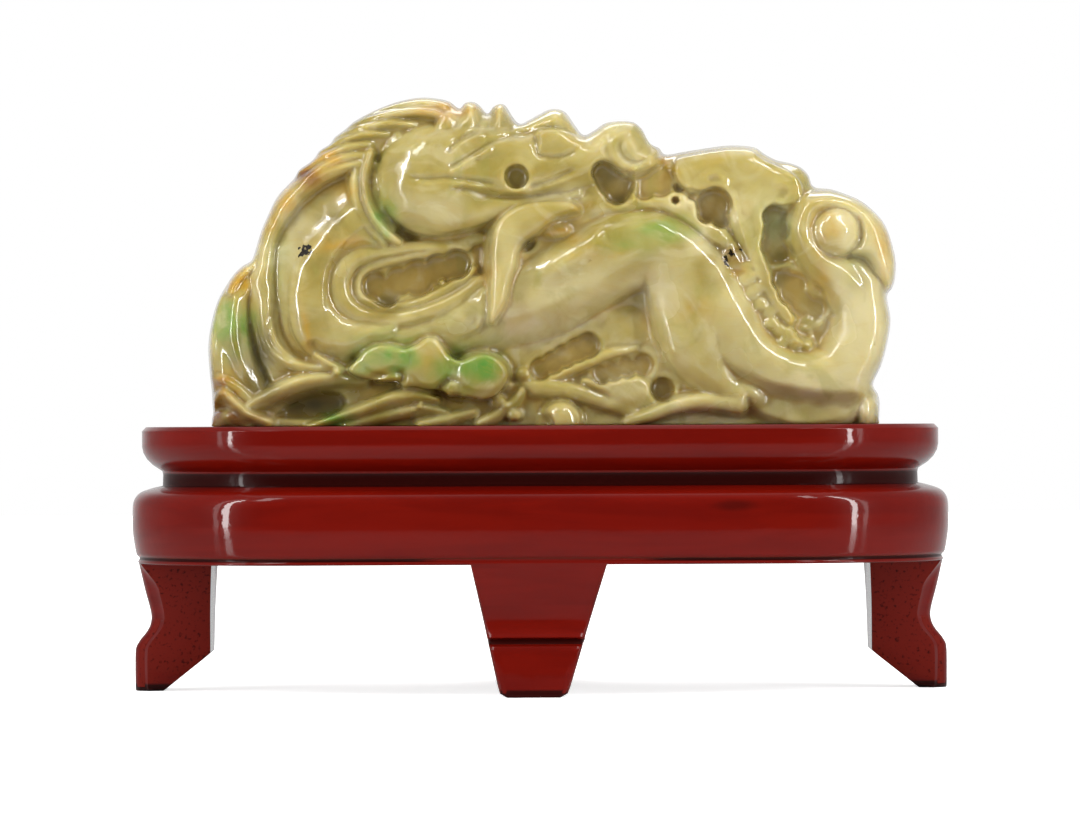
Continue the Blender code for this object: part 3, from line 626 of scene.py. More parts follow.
@dataclass
class Leaf:
    """The leaf that stands behind the neck, at the stone's left end."""

    outline: tuple = ((-63.2, 37), (-67.5, 33.2), (-70.8, 27.8), (-72.8, 21), (-73.6, 14),
                      (-73, 6), (-66, 4), (-61, 7), (-60, 12), (-61, 17), (-62, 24), (-62.5, 30))
    valley: tuple = ((-62.6, 30), (-61.4, 22), (-59.4, 14), (-57.8, 9.5), (-60, 8), (-62.8, 13),
                     (-64.4, 19), (-64.8, 26))
    ridge: tuple = ((-66, 30, 2.6), (-66.6, 21, 3), (-65.6, 15, 2.8), (-63.4, 10, 2.2), (-60.6, 7.6, 1.2))
    rims: tuple = ((((-69.8, 28, 0.8), (-71.2, 20, 1), (-71.4, 13, 1), (-71, 8, 0.8)), 18.4, 1.4),
                   (((-63.4, 35.6, 1.6), (-66, 32.6, 1.6), (-67.2, 29.4, 1.1)), 20.2, 1.8),
                   (((-72, 10.5, 1), (-68.5, 9.6, 1.2), (-65, 7.4, 1.2), (-62.5, 5, 1)), 19, 1.6))

    def carve(self, relief: Relief) -> None:
        """Raises the leaf with its two ridges, and sinks the valley beside the neck.

        Args:
            relief: The face that is carved.
        """
        relief.plate(self.outline, 17.6, 1.6, blend=0.6)
        relief.lower(self.valley, 12, 3.0)
        relief.band(self.ridge, (18.4, 19.2, 19, 18.4, 17.6), fall=2.4, lean=0.1, power=1.5, blend=0.8)
        for points, crest, fall in self.rims:
            relief.band(points, crest, fall=fall, blend=0.8)


@dataclass
class HindLeg:
    """The hind leg, its foot on the ground, and the hollow under the arched body."""

    hollow: tuple = ((-6, 9), (-2, 13.5), (4, 18), (10, 22.6), (15, 26), (19, 27.4), (23, 26.4),
                     (25.2, 22), (25.6, 16), (29, 11.5), (36, 7.2), (36, 4.5), (28, 3.6), (16, 4.5),
                     (4, 7))
    leg: tuple = ((29.5, 35, 7), (31, 28, 7), (32.2, 20, 6.6), (34.8, 13.4, 5.6), (38.6, 8.8, 3.8),
                  (42.8, 5.4, 2.6))
    sole: tuple = ((19, 0.4, 1.2), (24, 1.8, 1.5), (30, 3.9, 1.6), (36, 4.8, 1.8), (43, 4, 2))
    shelf: tuple = ((-1, 9, 1.3), (5, 11.2, 1.4), (10, 13.2, 1.3), (15, 15.2, 1.1), (21, 16.3, 0.8))
    fork: tuple = ((9.6, 9.4, 0.6), (12, 8.5, 0.9), (16, 6.6, 0.8))
    root: tuple = ((-6, 7.4, 1.6), (1, 7.6, 1.8), (8, 6.8, 1.7), (14, 4.6, 1.5), (20, 2.4, 1.4))
    undercut: tuple = ((28, -1), (31, 0.8), (36, 1.9), (41, 2.4), (45.4, 1.4), (45.4, -1))

    def carve(self, relief: Relief) -> None:
        """Sinks the hollow and raises the leg, the sole and the shelves between them.

        Args:
            relief: The face that is carved.
        """
        relief.lower(self.hollow, 14.0, 5.0)
        if relief.plain:
            relief.band(self.leg, 21.5, fall=4, lean=0.2, blend=3.0)
            relief.band(self.sole, 19, fall=1.8, blend=0.8)
            return
        relief.ball(17, 20.8, 7, 5.6, 15.2, fall=2.0, blend=2.0)
        relief.ball(18.5, 6.4, 6.5, 4.6, 17.8, fall=2.8, blend=1.5)
        relief.band(self.shelf, (16.2, 16.8, 17, 16.4, 15), fall=1.4, blend=1.0)
        relief.band(self.fork, (17, 17.8, 17.6), fall=1.0)
        relief.band(self.leg, (20.6, 21.4, 21.6, 21.4, 21, 20.4), fall=4.5, lean=0.3, blend=3.0)
        relief.band(self.sole, (18, 18.8, 19.6, 20.4, 20.8), fall=1.8, blend=0.8)
        relief.band(self.root, (17.2, 17.6, 17.8, 17.6, 17.2), fall=1.3, blend=0.8)
        relief.ball(4.6, 0.8, 4.3, 4, 22, fall=3.0, blend=0.5)
        relief.line(circle(4.6, 0.8, 4.8, 10, 160), -1.0, 0.7)
        relief.lower(self.undercut, 18.6, 1.0)
        relief.ball(71.8, 2.2, 2.4, 3.4, 19.6, fall=2.4, blend=0.8)


@dataclass
class Cloud:
    """The ruyi cloud in front of the body."""

    outline: tuple = (
        (-41.6, 12), (-40, 14), (-37.6, 16.3), (-34.5, 17.4), (-31.5, 16.7), (-29, 16.6),
        (-26.5, 17.6), (-24.5, 18.9), (-22.4, 18.7), (-21, 17.2), (-19.6, 15.2), (-17.6, 14.1),
        (-15, 14.3), (-12.5, 15.1), (-10, 14.9), (-8, 13.6), (-6.7, 11.5), (-7.1, 9), (-9, 6.6),
        (-12, 5.2), (-15, 5.6), (-17.6, 6), (-19.8, 6.8), (-22.2, 7.2), (-24.4, 7.4), (-27, 8),
        (-29.6, 8), (-31, 9.2), (-34, 9.3), (-37.4, 9.8), (-40.2, 10.6))
    rim: tuple = ((-41, 12.2), (-39.4, 13.9), (-37.2, 15.8), (-34.5, 16.8), (-31.5, 16.1),
                  (-29, 16), (-26.2, 17), (-24.4, 18.1), (-22.8, 17.9), (-21.5, 16.7),
                  (-20, 14.7), (-17.7, 13.5), (-15, 13.7), (-12.5, 14.4), (-10.2, 14.2),
                  (-8.5, 13), (-7.4, 11.3), (-7.8, 9.4))
    left_hook: tuple = ((-37.6, 9.6), (-34.6, 10.8), (-31.8, 11.8), (-29.8, 10.9), (-30.2, 9.1), (-32, 8))
    right_hook: tuple = ((-21.4, 5.2), (-21.8, 7.2), (-21, 8.9), (-19.2, 9.5), (-17.4, 9))
    domes: tuple = ((-33.5, 14.2, 5, 3, 22.2, 0.7, 1.5), (-24, 13, 4, 4.5, 22.2, 0.6, 1.5),
                    (-12.6, 11, 5, 4, 22.5, 0.8, 1.5))
    low_outline: tuple = ((-44, 6), (-42, 11), (-37, 13.6), (-32, 12.6), (-28, 15.6), (-22, 16),
                          (-17.4, 13.4), (-12, 13), (-8, 10), (-7.4, 5), (-12, 2.4), (-26, 2),
                          (-38, 2.6))
    curls: tuple = ((-36.6, 8.4, 3.4), (-24.6, 10.4, 3.8), (-13, 8, 3))

    def carve(self, relief: Relief) -> None:
        """Raises the cloud clear of the body, its rim, and the hooks of its two ends.

        Args:
            relief: The face that is carved.
        """
        if relief.plain:
            self.scroll(relief)
            return
        index, distance = relief.inside(self.outline, 4.0)
        moat = 1.2 * np.exp(-(distance.clip(min=0) / 1.6) ** 2)
        relief.out[index] -= np.where(distance > 0, moat, 0)
        relief.plate(self.outline, 21.6, 1.3, dome=0.5, over=True)
        relief.line(self.rim, 0.35, 0.8, fade=0.05)
        relief.line(self.left_hook, -1.6, 0.7, fade=0.2)
        relief.line(self.right_hook, -1.9, 0.7, fade=0.3)
        relief.ball(-19, 7.8, 1.5, 1.4, 22.2, fall=0.8, blend=0.5)
        for dome in self.domes:
            relief.ball(*dome)

    def scroll(self, relief: Relief) -> None:
        """Raises the plain side's low cloud: three lobes, each with one curl.

        Args:
            relief: The face that is carved.
        """
        relief.plate(self.low_outline, 19.6, 2.0, dome=0.6, over=True)
        for x, h, radius in self.curls:
            curl = [(x + (radius - 0.45 * turn) * math.cos(turn), h + (radius - 0.45 * turn) * math.sin(turn))
                    for turn in np.linspace(0.2, 6.0, 14)]
            relief.line(curl, -0.8, 0.6)


@dataclass
class Waves:
    """The waves and rocks that run along the base."""

    strands: tuple = (
        (((-65, 3, 1), (-60.5, 5.4, 1.6), (-55, 8, 1.8), (-50, 9.6, 1.6), (-44, 10.2, 1.4), (-38, 9.4, 0.9)),
         (19, 20, 20.6, 20.6, 20, 18.6)),
        (((-50, -0.5, 1), (-45, 1.2, 1.1), (-40, 2.7, 1.4), (-35, 4.5, 1.6), (-30, 6.2, 1.6),
          (-26, 6.3, 1.3), (-22.4, 5.4, 0.8)), (18.6, 19.6, 20.2, 20.6, 20.8, 20.4, 19.8)),
        (((-44, -1, 1.2), (-36, 1.3, 1.3), (-30, 2.6, 1.4), (-25, 3.4, 1.2), (-20.5, 2.6, 1)),
         (18, 18.8, 19.2, 19.2, 18)),
        (((-26, -0.2, 1.4), (-20, 1, 1.5), (-14.5, 2.6, 1.1)), (18.2, 18.8, 18)),
        (((-13, 0.2, 1.2), (-9.5, 1.8, 1.5), (-6, 4.4, 1.4), (-4, 7, 1.1)), (18, 18.6, 18.6, 17.8)),
        (((-71.8, 4.6, 0.9), (-69, 7, 1.1), (-66, 4.6, 1.1), (-63.5, 2.3, 1.2), (-59, 0.6, 1.1)),
         (19, 20.4, 21, 21, 20.4)),
        (((-73, 0.4, 1.4), (-68, 1.8, 1.5), (-63, 0, 1.3)), (18.4, 19, 18.6)),
        (((-48.5, 15, 0.8), (-45.4, 12.9, 1.1), (-42.4, 11.8, 0.9)), (21, 21.2, 20)),
        (((61, 0.2, 1.3), (66, 1, 1.6), (70, 3, 1.5), (73, 5.6, 1.1)), (17.5, 18, 18, 16.5)))
    pebbles: tuple = ((-9, 5.1, 1.3, 19.2), (-7.4, 4, 1.1, 19.2), (-3.6, 10.8, 1.7, 17.4),
                      (-43.9, 11.4, 0.9, 21.6), (-26, 3.9, 0.8, 20), (-5.6, 2, 1.4, 18.8))
    bed: tuple = ((-60, 8.6), (-50, 11.4), (-42, 10.6), (-30, 8.4), (-20, 5.6), (-12, 4.6),
                  (-5, 9.4), (-1, 6), (1, -2), (-40, -2), (-62, 0.5))
    gap: tuple = ((-58, 2), (-55.4, 4.6), (-51, 6.8), (-47, 7.7), (-43.4, 7.2), (-41.8, 5),
                  (-43.4, 2.6), (-47, 1.2), (-52, 0.9), (-56, 1.1))

    def carve(self, relief: Relief) -> None:
        """Lowers the ground along the base, then lays the strands and pebbles on it.

        Args:
            relief: The face that is carved.
        """
        relief.lower(self.bed, 15.8, 1.6)
        for points, crest in self.strands[:5] if relief.plain else self.strands:
            relief.band(points, crest, fall=1.7, lean=0.25, power=1.8, blend=0.5)
        if relief.plain:
            return
        for x, h, radius, crest in self.pebbles:
            relief.ball(x, h, radius, radius * 0.85, crest, fall=1.0)
        relief.lower(self.gap, 11.5, 1.3)


@dataclass
class Drillings:
    """The pockets that were drilled out hole by hole, and the single holes."""

    pockets: tuple = (
        (((-35.6, 30.4, 2.9), (-33.2, 28.6, 2.8), (-30.5, 31.2, 3.3), (-26.5, 31.9, 3.9),
          (-22, 33.6, 3.3), (-18, 34.8, 3.1)), 13.2),
        (((13.9, 54.4, 2.3), (15.8, 52.2, 2.8), (17, 50, 2.4), (18.6, 51.4, 2)), 16.2),
        (((22.9, 51, 2.4), (26.3, 52.4, 3.2)), 17.2),
        (((38, 47.4, 3.7), (36.4, 45.4, 1.9), (39.4, 44.3, 1.8)), 14.2),
        (((51, 44.8, 2.4), (51.5, 41.8, 2.6), (50.5, 38.4, 2.3), (52.3, 37, 2.4)), 15.2),
        (((53, 31, 2.4), (56, 30.4, 2.3), (54.6, 28.3, 2.8), (57, 26, 2.9), (60, 24.9, 2.3)), 15),
        (((0.2, 12, 2.3), (2.8, 13.3, 2.4), (5.4, 14.7, 2.5), (8, 16, 2.6), (10.4, 17, 2.7)), 12.2),
        (((13.4, 10.7, 2), (16, 11.4, 2.1), (19, 12.2, 2.3), (22.4, 12.8, 2.4)), 12.8),
        (((26.7, 7.4, 2.5),), 12.0))
    dots: tuple = ((-21.1, 31, 0.7, 17.2), (29.6, 48.4, 0.8, 17.5), (33, 50.4, 0.6, 18))
    eye: tuple = (-4.8, 53.5, 2.5)
    notch: tuple = ((-4.6, 37.2), (-2.4, 39.6), (-0.4, 41), (-0.8, 38.4), (-2.6, 37))
    strut: tuple = ((20.6, 56), (20.9, 52), (20.5, 47.6))

    def carve(self, relief: Relief) -> None:
        """Sinks every pocket with its soft lip, and only the largest on the plain side.

        Args:
            relief: The face that is carved.
        """
        if relief.plain:
            for holes, floor in self.pockets[0:6:2]:
                relief.drill(holes, floor, lip=0.25, edge=0.9)
            relief.drill([self.eye], 19.5, lip=0.35, edge=0.6)
            return
        relief.lower(self.notch, 17.6, 1.2)
        for holes, floor in self.pockets:
            relief.drill(holes, floor, lip=0.25, edge=0.9)
        for x, h, radius, floor in self.dots:
            relief.drill([(x, h, radius)], floor, lip=0.1)
        relief.line(self.strut, 1.5, 0.6, fade=0.1)
        relief.drill([self.eye], 22, lip=0.4, edge=0.6)


@dataclass
class JadeCarving:
    """The whole stone: forms carved on both faces of one pebble."""

    base: float = 58.1
    step: float = 0.36
    voxel: float = 0.4
    triangles: int = 190000
    rim_reach: float = 5.0
    rim_share: float = 0.55
    ripple: float = 0.045
    contact: float = -0.28
    ground: float = 15.5
    wall_cuts: int = 7
    evening: int = 70
    ridge: float = 0.4
    round_over: float = 0.5
    face_reach: float = 4.0
    back_reach: float = 12.0
    back_inset: float = 0.9
    outline: tuple = (
        (-71.8, 0), (-71.7, 2.5), (-72, 7.5), (-72.5, 12.5), (-72.7, 17.5), (-72, 22.5),
        (-70.5, 27.5), (-67.5, 32.5), (-65, 35), (-63.2, 36), (-62.4, 38), (-61, 42.5), (-59.5, 46),
        (-57.5, 50), (-55, 52.8), (-53.6, 54.2), (-52.5, 56), (-50.2, 57.6), (-49, 58.8),
        (-48, 60.2), (-45.8, 61.6), (-44.7, 63.1), (-42.2, 65), (-40, 66.8), (-35, 69.3),
        (-30, 71), (-25, 71.7), (-20, 71), (-18, 69.6), (-17.1, 69.2), (-16.2, 70.4),
        (-14.5, 70.7), (-13, 70), (-11.2, 68), (-10.1, 69.4), (-8.9, 70.1), (-7.3, 69.9),
        (-5.4, 67), (-4, 65.8), (-2, 66.7), (0, 67.8), (2, 68.8), (4, 69), (6, 68.2), (8, 65.4),
        (9.8, 63.3), (12, 64.2), (15, 66), (20, 66.2), (22.4, 64.8), (24.4, 61.4), (26.4, 60.4),
        (27.8, 59), (32.5, 59.7), (40, 60.8), (44, 60.9), (47.5, 60.4), (49.4, 59.1), (52, 57.7),
        (55, 57), (57.5, 56), (59.2, 54.2), (60.2, 51.8), (64, 51.2), (67.5, 50), (70.2, 48.8),
        (72.6, 47), (75.2, 44.2), (76.8, 41), (78.1, 36), (78.1, 32), (77.4, 29.4), (76.3, 27.6),
        (77, 22.5), (76.3, 17.5), (74.9, 12.5), (73.1, 8.4), (74.2, 6.2), (74.6, 3.8), (74, 0))
    forms: tuple = (Leaf(), Trunk(), Tail(), Fin(), Mane(), HindLeg(), Waves(), Cloud(), Head(),
                    Drillings())

    def rim(self) -> np.ndarray:
        """The outline over the stone, from one end of its base to the other."""
        return smooth_path(self.outline, 5)

    def relief(self, x: np.ndarray, h: np.ndarray, side: Side) -> np.ndarray:
        """Heights of one face, rounded toward the rim.

        Args:
            x: Places along the stand.
            h: Their heights above the stone's base.
            side: Which face.

        Returns:
            The distance of each place from the middle plane.
        """
        face = Relief(x, h, self.ground, plain=side is Side.BACK)
        index, offset, _, _ = face.nearest(self.rim(), 200.0)
        reach = np.zeros(len(x))
        reach[index] = np.abs(offset)
        for form in self.forms:
            form.carve(face)
        face.out += self.ripple * (np.sin(1.15 * x + 0.6 * h + 2 * np.sin(0.31 * h))
                                   + np.sin(1.05 * h - 0.8 * x + 2 * np.sin(0.27 * x)))
        inward = 1 - np.clip(reach / self.rim_reach, 0, 1)
        return face.out * (self.rim_share + (1 - self.rim_share) * np.sqrt(1 - inward ** 2))

    def lean_in(self, plan: np.ndarray) -> np.ndarray:
        """How the wall rounds over to both faces, and its notches fade out toward the back.

        Args:
            plan: Rows of x, h and how far behind the front each place is, from 0 to 1.

        Returns:
            Rows of what is added to x and h.
        """
        rim = self.rim()
        even = rim.copy()
        for _ in range(self.evening):
            even[1:-1] = (even[:-2] + 2 * even[1:-1] + even[2:]) / 4
        run = np.gradient(even, axis=0)
        run /= np.hypot(*run.T)[:, None]
        outward = np.stack([-run[:, 1], run[:, 0]], axis=1)
        shift = even - rim
        along = (shift * outward).sum(1)
        shift += (np.minimum(along, 0.5) - self.back_inset - along)[:, None] * outward
        moves = np.zeros((len(plan), 2))
        face = Relief(plan[:, 0], plan[:, 1], self.ground)
        index, offset, share, _ = face.nearest(rim, 14.0)
        at = share * (len(rim) - 1)
        reach = np.abs(offset)
        behind = plan[index, 2]
        ahead = np.clip(1 - behind / self.ridge, 0, 1) * np.clip(1 - reach / self.face_reach, 0, 1)
        after = np.clip((behind - self.ridge) / (1 - self.ridge), 0, 1)
        after = after ** 0.8 * np.clip(1 - reach / self.back_reach, 0, 1)
        rise = ease(plan[index, 1] / 5)
        for axis in (0, 1):
            inward = -np.interp(at, np.arange(len(rim)), outward[:, axis])
            moved = np.interp(at, np.arange(len(rim)), shift[:, axis])
            moves[index, axis] = rise * (self.round_over * ahead ** 2 * inward + after ** 2 * moved)
        return moves

    def blank(self) -> bpy.types.Mesh:
        """Cuts a slab one unit thick to the outline.

        Returns:
            A closed mesh in plan: x and y are x and h, and z runs from 0 in front to 1 behind.
        """
        rim = self.rim()
        low, high = rim.min(0) - self.step, rim.max(0) + self.step
        low[1] = self.contact
        columns, rows = (int(count) for count in np.ceil((high - low) / self.step))
        bm = bmesh.new()
        bmesh.ops.create_grid(bm, x_segments=columns, y_segments=rows, size=0.5)
        bmesh.ops.scale(bm, vec=(columns * self.step, rows * self.step, 1), verts=bm.verts)
        middle = (low[0] + columns * self.step / 2, low[1] + rows * self.step / 2, 0)
        bmesh.ops.translate(bm, vec=middle, verts=bm.verts)
        centres = np.array([face.calc_center_median()[:2] for face in bm.faces])
        below = [(rim[-1, 0], self.contact - 1), (rim[0, 0], self.contact - 1)]
        kept = enclosed(centres[:, 0], centres[:, 1], np.concatenate([rim, below, rim[:1]]))
        waste = [face for face, keep in zip(bm.faces, kept) if not keep]
        bmesh.ops.delete(bm, geom=waste, context="FACES")
        edge = [vert for vert in bm.verts if vert.is_boundary and vert.co.y > self.step]
        fine = smooth_path(self.outline, 24)
        for vert in edge:
            gap = np.hypot(fine[:, 0] - vert.co.x, fine[:, 1] - vert.co.y)
            vert.co.xy = fine[gap.argmin()]
        back = bmesh.ops.extrude_face_region(bm, geom=bm.faces[:])["geom"]
        back = [item for item in back if isinstance(item, bmesh.types.BMVert)]
        bmesh.ops.translate(bm, vec=(0, 0, 1), verts=back)
        across = [seam for seam in bm.edges if abs(seam.verts[0].co.z - seam.verts[1].co.z) > 0.5]
        bmesh.ops.subdivide_edges(bm, edges=across, cuts=self.wall_cuts)
        bmesh.ops.recalc_face_normals(bm, faces=bm.faces)
        mesh = bpy.data.meshes.new("jade_carving")
        bm.to_mesh(mesh)
        bm.free()
        return mesh

    def build(self) -> bpy.types.Object:
        """Carves both faces, makes the skin even and thins it out.

        Returns:
            The finished stone, without its finish.
        """
        mesh = self.blank()
        plan = coordinates(mesh)
        place = np.stack([plan[:, 0], np.zeros(len(plan)), plan[:, 1] + self.base], axis=1)
        for side, share in ((Side.FRONT, 1 - plan[:, 2]), (Side.BACK, plan[:, 2])):
            chosen = share > 0.01
            place[chosen, 1] += side.value * share[chosen] * self.relief(*plan[chosen, :2].T, side)
        place[:, ::2] += self.lean_in(plan)
        mesh.vertices.foreach_set("co", (place * MM).ravel())
        stone = new_piece("jade_carving", mesh)
        remesh = stone.modifiers.new("Even skin", "REMESH")
        remesh.mode, remesh.voxel_size = "VOXEL", self.voxel * MM
        soften = stone.modifiers.new("Soften", "SMOOTH")
        soften.factor, soften.iterations = 0.5, 1
        apply_modifiers(stone)
        count = sum(len(face.vertices) - 2 for face in stone.data.polygons)
        thin = stone.modifiers.new("Thin out", "DECIMATE")
        thin.ratio = min(1.0, self.triangles / count)
        apply_modifiers(stone)
        stone.data.shade_smooth()
        return stone


def coordinates(mesh: bpy.types.Mesh) -> np.ndarray:
    """Reads where a mesh's vertices are.

    Args:
        mesh: The mesh.

    Returns:
        One row of x, y and z for each.
    """
    values = np.empty(len(mesh.vertices) * 3)
    mesh.vertices.foreach_get("co", values)
    return values.reshape(-1, 3)


def new_piece(name: str, mesh: bpy.types.Mesh) -> bpy.types.Object:
    """Puts a mesh into the scene.

    Args:
        name: The object's name.
        mesh: Its mesh.

    Returns:
        The object, at the origin.
    """
    piece = bpy.data.objects.new(name, mesh)
    bpy.context.scene.collection.objects.link(piece)
    return piece


def apply_modifiers(piece: bpy.types.Object) -> None:
    """Replaces a piece's mesh with what its modifiers make of it.

    Args:
        piece: The piece, which has no modifiers afterwards.
    """
    shown = piece.evaluated_get(bpy.context.evaluated_depsgraph_get())
    old = piece.data
    piece.data = bpy.data.meshes.new_from_object(shown)
    piece.modifiers.clear()
    piece.data.name = piece.name
    bpy.data.meshes.remove(old)


@dataclass
class Nodes:
    """Adds shader nodes to a tree and links them."""

    tree: bpy.types.NodeTree

    def add(self, kind: str, inputs: dict = None, **settings: object) -> bpy.types.Node:
        """Adds one node.

        Args:
            kind: The node's type, without its "ShaderNode".
            inputs: Values or sockets for its inputs, by name or number.
            settings: Properties of the node itself.

        Returns:
            The node.
        """
        node = self.tree.nodes.new("ShaderNode" + kind)
        for name, value in settings.items():
            setattr(node, name, value)
        for name, value in (inputs or {}).items():
            if isinstance(value, bpy.types.NodeSocket):
                self.tree.links.new(value, node.inputs[name])
            else:
                node.inputs[name].default_value = value
        return node

    def measure(self, name: str) -> Socket:
        """One of the piece's own painted measures, from 0 to 1."""
        return self.add("Attribute", attribute_name=name).outputs["Fac"]

    def mix(self, share: Socket | float, a: Socket | tuple, b: Socket | tuple) -> Socket:
        """Colour between `a` and `b`."""
        node = self.add("Mix", {0: share, 6: a, 7: b}, data_type="RGBA")
        return node.outputs[2]

    def sum(self, operation: str, a: Socket | float, b: Socket | float, clamp: bool = False) -> Socket:
        """One step of arithmetic."""
        return self.add("Math", {0: a, 1: b}, operation=operation, use_clamp=clamp).outputs[0]

    def spread(self, value: Socket, low: float, high: float, to_low: float = 0.0,
               to_high: float = 1.0) -> Socket:
        """Maps a value's range smoothly onto another one.

        Args:
            value: The value.
            low: Where its range starts.
            high: Where its range ends.
            to_low: What `low` becomes.
            to_high: What `high` becomes.

        Returns:
            The mapped value.
        """
        node = self.add("MapRange", {0: value, 1: low, 2: high, 3: to_low, 4: to_high},
                        interpolation_type="SMOOTHSTEP")
        return node.outputs[0]

    def noise(self, scale: Socket | float, detail: float = 3.0, stretch: Socket | tuple = (1, 1, 1),
              distortion: float = 0.0) -> Socket:
        """Noise in the piece's own coordinates.

        Args:
            scale: How many waves a metre has.
            detail: How many finer layers lie on them.
            stretch: How much closer the waves lie along each axis.
            distortion: How much they swirl.

        Returns:
            The noise, from 0 to 1.
        """
        where = self.add("TexCoord").outputs["Object"]
        where = self.add("Mapping", {"Vector": where, "Scale": stretch}).outputs[0]
        node = self.add("TexNoise", {"Vector": where, "Scale": scale, "Detail": detail,
                                     "Distortion": distortion})
        return node.outputs["Fac"]


def hand_polish() -> bpy.types.NodeTree:
    """The group that makes a hand-polished skin faintly uneven.

    Returns:
        The group: inputs Waves, Stretch, Grain and Grain share; output Height.
    """
    name = "Hand polish"
    if name in bpy.data.node_groups:
        return bpy.data.node_groups[name]
    group = bpy.data.node_groups.new(name, "ShaderNodeTree")
    for label, kind in (("Waves", "Float"), ("Stretch", "Vector"), ("Grain", "Float"),
                        ("Grain share", "Float")):
        group.interface.new_socket(name=label, in_out="INPUT", socket_type="NodeSocket" + kind)
    group.interface.new_socket(name="Height", in_out="OUTPUT", socket_type="NodeSocketFloat")
    given = group.nodes.new("NodeGroupInput").outputs
    result = group.nodes.new("NodeGroupOutput")
    nodes = Nodes(group)
    waves = nodes.noise(given["Waves"], 3, given["Stretch"])
    grain = nodes.sum("MULTIPLY", nodes.noise(given["Grain"], 3), given["Grain share"])
    group.links.new(nodes.sum("ADD", waves, grain), result.inputs["Height"])
    return group


def polish(nodes: Nodes, waves: float, stretch: tuple, grain: float, share: float, depth: float,
           strength: float) -> Socket:
    """The normal of a skin that was polished by hand.

    Args:
        nodes: The material's nodes.
        waves: How many soft waves a metre has.
        stretch: How much closer they lie along each axis.
        grain: How many fine grains a metre has.
        share: Height of a grain against a wave.
        depth: Height of a wave, in metres.
        strength: How much of it shows, from 0 to 1.

    Returns:
        The normal.
    """
    place = nodes.add("Group", node_tree=hand_polish())
    for name, value in (("Waves", waves), ("Stretch", stretch), ("Grain", grain), ("Grain share", share)):
        place.inputs[name].default_value = value
    return nodes.add("Bump", {"Height": place.outputs["Height"], "Distance": depth,
                              "Strength": strength}).outputs[0]


def new_material(name: str) -> tuple:
    """A new node material.

    Args:
        name: Its name.

    Returns:
        The material, its `Nodes`, and its Principled shader.
    """
    material = bpy.data.materials.new(name)
    material.use_nodes = True
    return material, Nodes(material.node_tree), material.node_tree.nodes["Principled BSDF"]


